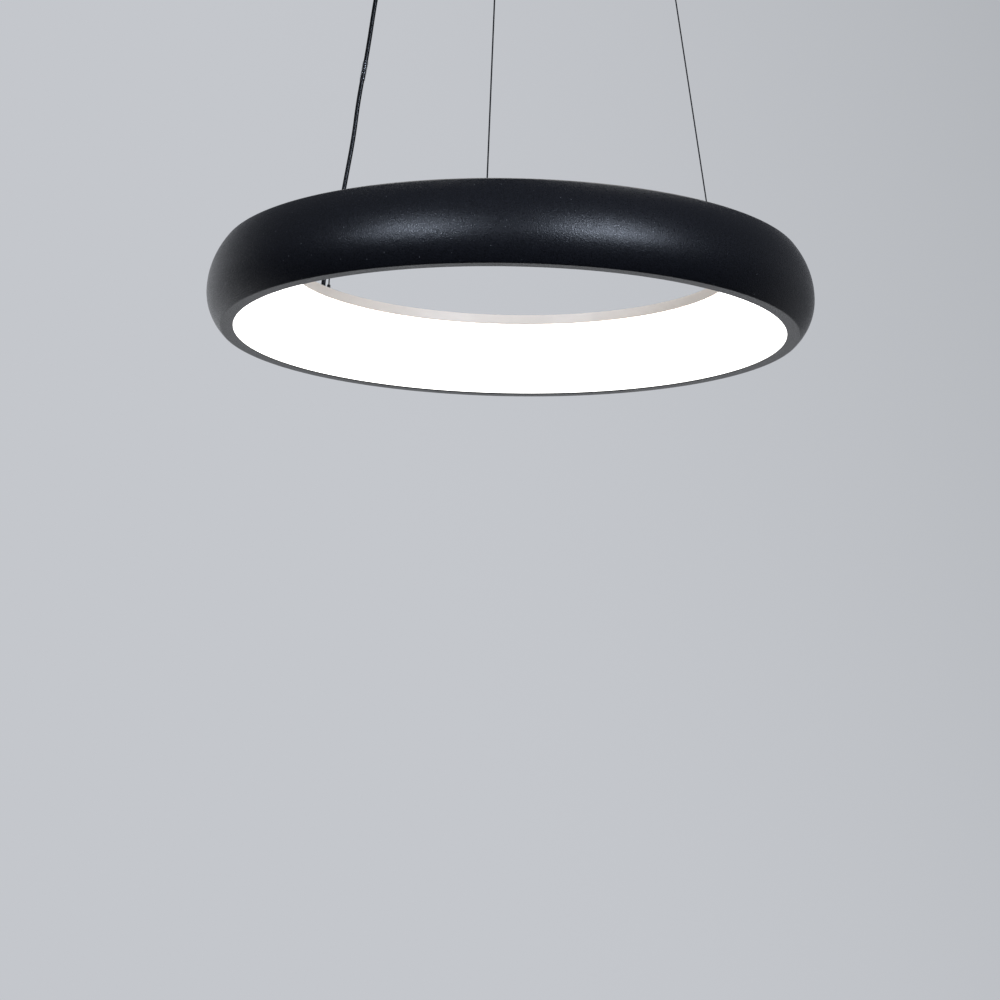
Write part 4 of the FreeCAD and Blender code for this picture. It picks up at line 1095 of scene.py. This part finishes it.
class LAMP_OT_canopy(bpy.types.Operator):
    """Builds the black cup against the ceiling"""
    bl_idname = "lamp.canopy"
    bl_label = "Canopy"

    def execute(self, context):
        canopy = settings("lamp_canopy")
        r = canopy_high.x
        floor, top = canopy_low.z, canopy_high.z
        skin, corner = canopy.sheet, canopy.corner
        bend = np.linspace(-np.pi / 2, 0, 15)
        centre = (r - corner, floor + corner)
        near = 0.001  # from the arc to a point on each flat that keeps its shading flat
        hem = cut_edge([(r, floor), (r, top), (r - skin, top), (r - skin, floor)], skin)
        flat = np.array([0, r / 3, r * 2 / 3, r - corner - near])
        outline = np.concatenate([
            np.stack([flat, np.full_like(flat, floor)], axis=-1),
            arc(centre, corner, bend),
            [(r, floor + corner + near)],
            hem,
            [(r - skin, floor + corner + near)],
            arc(centre, corner - skin, bend[::-1]),
            np.stack([flat[::-1], np.full_like(flat, floor + skin)], axis=-1),
        ])
        part = lathe(outline, canopy_steps, closed=False)
        add_piece("ceiling_cup", part, "canopy", "canopy_cover")
        return {"FINISHED"}


def knurled_screw(canopy):
    """A straight-knurled head and its shank, along z: the rim's radius falls in a groove at each of its teeth."""
    teeth, tooth_steps = 30, 6
    knurl_depth = 0.00028
    shank_length = 0.009
    angle = around(teeth * tooth_steps)
    groove = np.abs((angle * teeth / (2 * np.pi)) % 1 - 0.5) * 2
    head = canopy.head_radius
    rim = head - knurl_depth * groove ** 2
    high = canopy.head_height
    plain = np.full_like(angle, head - 0.0004)
    shank = canopy.screw_radius
    rows = [
        (0.0, -shank_length),
        (shank * 0.75, -shank_length),
        (shank, -shank_length + 0.0005),
        (shank, 0.0),
        (plain, 0.0),
        (plain, 0.0001),
        (rim, 0.0005),
        (rim, high - 0.0009),
        (plain, high - 0.0005),
        (head - 0.0007, high - 0.0001),
        (head - 0.0011, high),
        (head * 0.5, high),
        (head * 0.45, high - 0.0003),
        (0.0, high - 0.0003),
    ]
    return stacked(rows, angle)


class LAMP_OT_side_screws(bpy.types.Operator):
    """Builds the two knurled screws that hold the canopy"""
    bl_idname = "lamp.side_screws"
    bl_label = "Side Screws"

    def execute(self, context):
        level = box_middle("side_screws").z
        points, faces = knurled_screw(settings("lamp_canopy"))
        # Its axis is laid along x, with the head's underside on the canopy's wall
        right = np.stack([points[:, 2] + canopy_high.x, points[:, 0], points[:, 1] + level], axis=-1), faces
        add_piece("thumb_screws", joined([right, turned(right, math.pi)]), "canopy", "side_screws")
        return {"FINISHED"}


class LAMP_OT_grippers(bpy.types.Operator):
    """Builds the nickel wire grippers and their release plungers"""
    bl_idname = "lamp.grippers"
    bl_label = "Wire Grippers"

    def execute(self, context):
        canopy = settings("lamp_canopy")
        r, tall, cut = canopy.gripper_radius, canopy.gripper_length, canopy.gripper_chamfer
        bore = canopy.plunger_radius + 0.00008
        groove = 0.0003
        socket, socket_depth = 0.00505, 0.006  # for the nipple
        chamber, chamber_depth = 0.0042, 0.012  # for the spring and the balls
        cone_mouth, cone_depth = 0.00275, 0.020  # where the cone ends
        corners = [(bore, -tall), (r - cut, -tall), (r, cut - tall)]
        for level in (-0.0095, -0.0045):
            corners += [(r, level - groove), (r - groove, level), (r, level + groove)]
        corners += [
            (r, 0.0),
            (socket, 0.0),
            (socket, -socket_depth),
            (chamber, -socket_depth),
            (chamber, -chamber_depth),
            (cone_mouth, -cone_depth),
            (bore, -cone_depth),
        ]
        radii = np.array([0.15, 0.4, 0.4, *[0.08] * 6, 0.3, 0.1, 0.1, 0.1, 0.1, 0.05, 0.03]) * mm
        body = lathe(rounded(corners, radii), turned_steps)
        low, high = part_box("gripper_plunger_left")
        bore, stem = canopy.plunger_bore, canopy.plunger_radius
        rim = (high.x - low.x) / 2
        rim_under = high.z - 0.0008
        corners = [(bore, low.z), (stem, low.z), (stem, rim_under), (rim, rim_under), (rim, high.z), (bore, high.z)]
        plunger = lathe(rounded(corners, np.array([0.2, 0.3, 0.1, 0.2, 0.2, 0.2]) * mm), 48)
        for side in sides:
            middle = box_middle("gripper_body_" + side)
            part = moved(body, on_axis(middle, canopy_low.z))
            add_piece("gripper_" + side, part, "canopy", "gripper_body_" + side)
            part = moved(plunger, on_axis(middle))
            add_piece("release_" + side, part, "plunger_" + side, "gripper_plunger_" + side)
        return {"FINISHED"}


class LAMP_OT_springs(bpy.types.Operator):
    """Builds the coil springs that push the release plungers out"""
    bl_idname = "lamp.springs"
    bl_label = "Gripper Springs"

    def execute(self, context):
        canopy = settings("lamp_canopy")
        wire = canopy.spring_wire / 2
        turn_steps = 24
        turn = np.linspace(0, 2 * np.pi * canopy.spring_turns, turn_steps * canopy.spring_turns + 1)
        for side in sides:
            node, joint = "gripper_spring_" + side, "gripper_release_" + side
            low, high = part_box(node)
            coil = (high.x - low.x) / 2 - wire
            rise = np.linspace(low.z + wire, high.z - wire, len(turn))
            path = np.stack([coil * np.cos(turn), coil * np.sin(turn), rise], axis=-1)
            part = moved(swept(path, wire, around(10), (0, 0, 1)), on_axis(box_middle(node)))
            piece = add_piece("coil_" + side, part, "canopy", node)
            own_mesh(piece)
        return {"FINISHED"}


class LAMP_OT_gland(bpy.types.Operator):
    """Builds the tapered strain relief that the cord leaves the canopy through"""
    bl_idname = "lamp.gland"
    bl_label = "Strain Relief"

    def execute(self, context):
        canopy = settings("lamp_canopy")
        tall, collar, mouth = canopy.gland_length, canopy.gland_collar, canopy.gland_mouth
        angle = around(96)
        hexagon = hexagon_reach(canopy.gland_flats, angle)
        rim = canopy.gland_flats / 2 * 1.03  # just past the flats, where the corners' chamfers start
        bore = settings("lamp_suspension").cord_radius + 0.00012
        cord_seat = -tall + 0.0095
        thread, thread_end = 0.0049, 0.009
        lead_hole = 0.0016
        edge = 0.0003
        ribs, rib_depth = 7, 0.00035
        taper = np.linspace(0, 1, 36)
        body = mouth + (rim * 0.9 - mouth) * taper
        fade = np.clip(taper * 8, 0, 1) * np.clip((1 - taper) * 8, 0, 1)
        body += rib_depth * fade * np.clip(np.cos(taper * 2 * np.pi * ribs), -0.4, 0.4) / 0.4
        heights = -tall + 0.0004 + taper * (tall - collar - 0.0008)
        rows = [
            (bore, cord_seat),
            (bore, -tall + edge),
            (bore + edge, -tall),
            (mouth - edge, -tall),
            *zip(body, heights),
            (rim * 0.96, -collar),
            (np.minimum(hexagon, rim * 1.05), -collar + 0.0002),
            (np.minimum(hexagon, rim * 1.13), -collar + 0.0007),
            (hexagon, -collar + 0.0012),
            (hexagon, -0.0004),
            (hexagon - 0.0002, -0.0001),
            (hexagon - 0.0004, 0.0),
            (thread, 0.0),
            (thread, thread_end - 0.0005),
            (thread - 0.0004, thread_end),
            (lead_hole + 0.0002, thread_end),
            (lead_hole, thread_end - edge),
            (lead_hole, cord_seat + 0.0002),
        ]
        part = moved(stacked(rows, angle, closed=True), on_axis(box_middle("canopy_gland"), canopy_low.z))
        add_piece("strain_relief", part, "canopy", "canopy_gland")
        return {"FINISHED"}


class LAMP_OT_plain_pieces(bpy.types.Operator):
    """Gives every piece that is kept as constructed its finish"""
    bl_idname = "lamp.plain_pieces"
    bl_label = "Finishes of the Inner Pieces"

    def execute(self, context):
        for node in slot_of:
            materials = frame["nodes"][node].data.materials
            materials.clear()
            materials.append(finish(node))
        return {"FINISHED"}


# Studio


def place_camera(view):
    """Puts the camera where it sees the middle of the lip at its row and column, from its distance.

    With R the turn of the view, a point seen from the camera is R p + d (column, row, 1), so the camera stands at
    -transposed(R) d (column, row, 1)."""
    focal = view.lens / sensor_width * image_side
    up, c, s = -view.rise, math.cos(view.roll), math.sin(view.roll)
    tilt = Matrix(((1, 0, 0), (0, math.cos(up), -math.sin(up)), (0, math.sin(up), math.cos(up))))
    roll = Matrix(((c, -s, 0), (s, c, 0), (0, 0, 1)))
    level = Matrix(((1, 0, 0), (0, 0, -1), (0, 1, 0)))
    turn = Matrix.Rotation(view.turn, 3, "Z")
    looks = roll @ tilt @ level @ turn.transposed()
    centre = image_side / 2
    shift = Vector(((view.middle_column - centre) / focal, (view.middle_row - centre) / focal, 1)) * view.distance
    place = -(looks.transposed() @ shift) + Vector((0, 0, lip_level))
    camera = bpy.data.cameras.new("camera")
    camera.lens = view.lens
    camera.sensor_width = sensor_width
    camera.clip_start = 0.05
    camera.clip_end = 100
    holder = placed("camera", camera)
    axes = Matrix((looks[0], -looks[1], -looks[2])).transposed().to_4x4()
    holder.matrix_world = Matrix.Translation(place) @ axes
    bpy.context.scene.camera = holder


def soft_box(name, azimuth, rise, distance, size, power, colour=(1, 1, 1)):
    """A rectangular lamp of a power in watts, aimed at the lip's middle from an azimuth and a rise in degrees."""
    light = bpy.data.lights.new(name, "AREA")
    light.shape = "RECTANGLE"
    light.size, light.size_y = size
    light.energy = power
    light.color = colour
    holder = placed(name, light)
    a, e = math.radians(azimuth), math.radians(rise)
    way = Vector((math.cos(a) * math.cos(e), math.sin(a) * math.cos(e), math.sin(e)))
    middle = Vector((0, 0, lip_level))
    holder.location = middle + way * distance
    holder.rotation_mode = "QUATERNION"
    holder.rotation_quaternion = way.to_track_quat("Z", "Y")
    holder.visible_camera = False


def set_world():
    """The room: a pale wall that darkens to the right as the camera sees it, and the light that the lamp mirrors."""
    world = bpy.data.worlds.new("studio")
    bpy.context.scene.world = world
    world.use_nodes = True
    tree = world.node_tree
    tree.nodes.clear()
    way = linked(tree, "TexCoord", "Generated", {})
    x, y, z = linked(tree, "SeparateXYZ", "X", {"Vector": way}).node.outputs
    slanted = linked(tree, "VectorMath", "Value", {0: way, 1: (1, 0, 0.35)}, operation="DOT_PRODUCT")
    across = ranged(tree, slanted, 0, 1, -0.11, 0.29)
    wall = mixed(tree, multiplied(tree, across, across), (0.553, 0.570, 0.604), (0.386, 0.402, 0.425))
    upper = mixed(tree, ranged(tree, z, 0, 1, -0.3, 0.8), (0.010, 0.011, 0.014), (0.10, 0.108, 0.128))
    behind = ranged(tree, y, 0, 1, 0.3, 0.8)
    left_of_window = ranged(tree, x, 1, 0.25, 0.05, 0.35)
    below_ceiling = ranged(tree, z, 1, 0, 0.25, 0.55)
    above_floor = ranged(tree, z, 0, 1, -0.6, -0.3)
    backdrop = multiplied(tree, multiplied(tree, behind, left_of_window), multiplied(tree, below_ceiling, above_floor))
    room = mixed(tree, backdrop, upper, (0.72, 0.74, 0.78))
    seen, mirrored = [linked(tree, "Background", "Background", {"Color": colour}) for colour in (wall, room)]
    camera_ray = linked(tree, "LightPath", "Is Camera Ray", {})
    chosen = linked(tree, "MixShader", "Shader", {"Fac": camera_ray, 1: mirrored, 2: seen})
    out = tree.nodes.new("ShaderNodeOutputWorld")
    tree.links.new(chosen, out.inputs["Surface"])


class LAMP_OT_stage(bpy.types.Operator):
    """Sets up the studio: floor, soft lights, room and camera"""
    bl_idname = "lamp.stage"
    bl_label = "Studio"

    floor_half: length("Floor half", "Half the width of the floor", 40.0)

    def execute(self, context):
        view = settings("lamp_view")
        half = self.floor_half
        floor_grey = (0.62, 0.63, 0.64)
        mesh = bpy.data.meshes.new("floor")
        corners = [(-half, -half), (half, -half), (half, half), (-half, half)]
        mesh.from_pydata([(x, y, -view.floor_drop) for x, y in corners], [], [[0, 1, 2, 3]])
        material, tree, shader = new_finish("pale_floor", floor_grey, 0.7)
        tint = mixed(tree, ranged(tree, noise(tree, 3, 4), 0, 1), (0.58, 0.59, 0.60), (0.64, 0.65, 0.66))
        tree.links.new(tint, shader.inputs["Base Color"])
        glowing(shader, floor_grey, 0.5)
        mesh.materials.append(material)
        floor = placed("floor", mesh)
        floor.visible_diffuse = False  # it neither lights the lamp nor shows in its gloss
        floor.visible_glossy = False
        place_camera(view)
        skylight = (0.74, 0.83, 1.0)
        soft_box("left_soft_box", -117, 6, 2.8, (0.8, 0.4), 29, skylight)
        soft_box("right_soft_box", -51.5, 7, 2.8, (0.9, 0.4), 40, skylight)
        soft_box("top_soft_box", 90, 62, 3.4, (2.2, 2.2), 32)
        set_world()
        context.scene.view_settings.view_transform = "Standard"
        context.scene.view_settings.look = "None"
        return {"FINISHED"}


operators = (
    LAMP_OT_wires,
    LAMP_OT_cord,
    LAMP_OT_sleeves,
    LAMP_OT_shade,
    LAMP_OT_diffuser,
    LAMP_OT_collar,
    LAMP_OT_top_cover,
    LAMP_OT_fasteners,
    LAMP_OT_wire_ends,
    LAMP_OT_canopy,
    LAMP_OT_side_screws,
    LAMP_OT_grippers,
    LAMP_OT_springs,
    LAMP_OT_gland,
    LAMP_OT_plain_pieces,
    LAMP_OT_stage,
)


class LAMP_PT_panel(bpy.types.Panel):
    """Lists the pieces of the lamp"""
    bl_idname = "LAMP_PT_panel"
    bl_label = "Ring Pendant Lamp"
    bl_space_type = "VIEW_3D"
    bl_region_type = "UI"
    bl_category = "Lamp"

    def draw(self, context):
        for operator in operators:
            self.layout.operator(operator.bl_idname)
        for group, kind in groups.items():
            column = self.layout.column(align=True)
            for name in kind.__annotations__:
                column.prop(getattr(context.scene, group), name)


def register():
    """Makes the sizes, finishes, operators and panel known to Blender."""
    for kind in (*groups.values(), *operators, LAMP_PT_panel):
        bpy.utils.register_class(kind)
    for name, kind in groups.items():
        setattr(bpy.types.Scene, name, PointerProperty(type=kind))


def unregister():
    """Takes back what register did."""
    for name in groups:
        delattr(bpy.types.Scene, name)
    for kind in reversed((*groups.values(), *operators, LAMP_PT_panel)):
        bpy.utils.unregister_class(kind)


def main():
    """Builds every piece and the studio."""
    register()
    for operator in operators:
        group, name = operator.bl_idname.split(".")
        getattr(getattr(bpy.ops, group), name)()


if __name__ == "__main__":
    main()
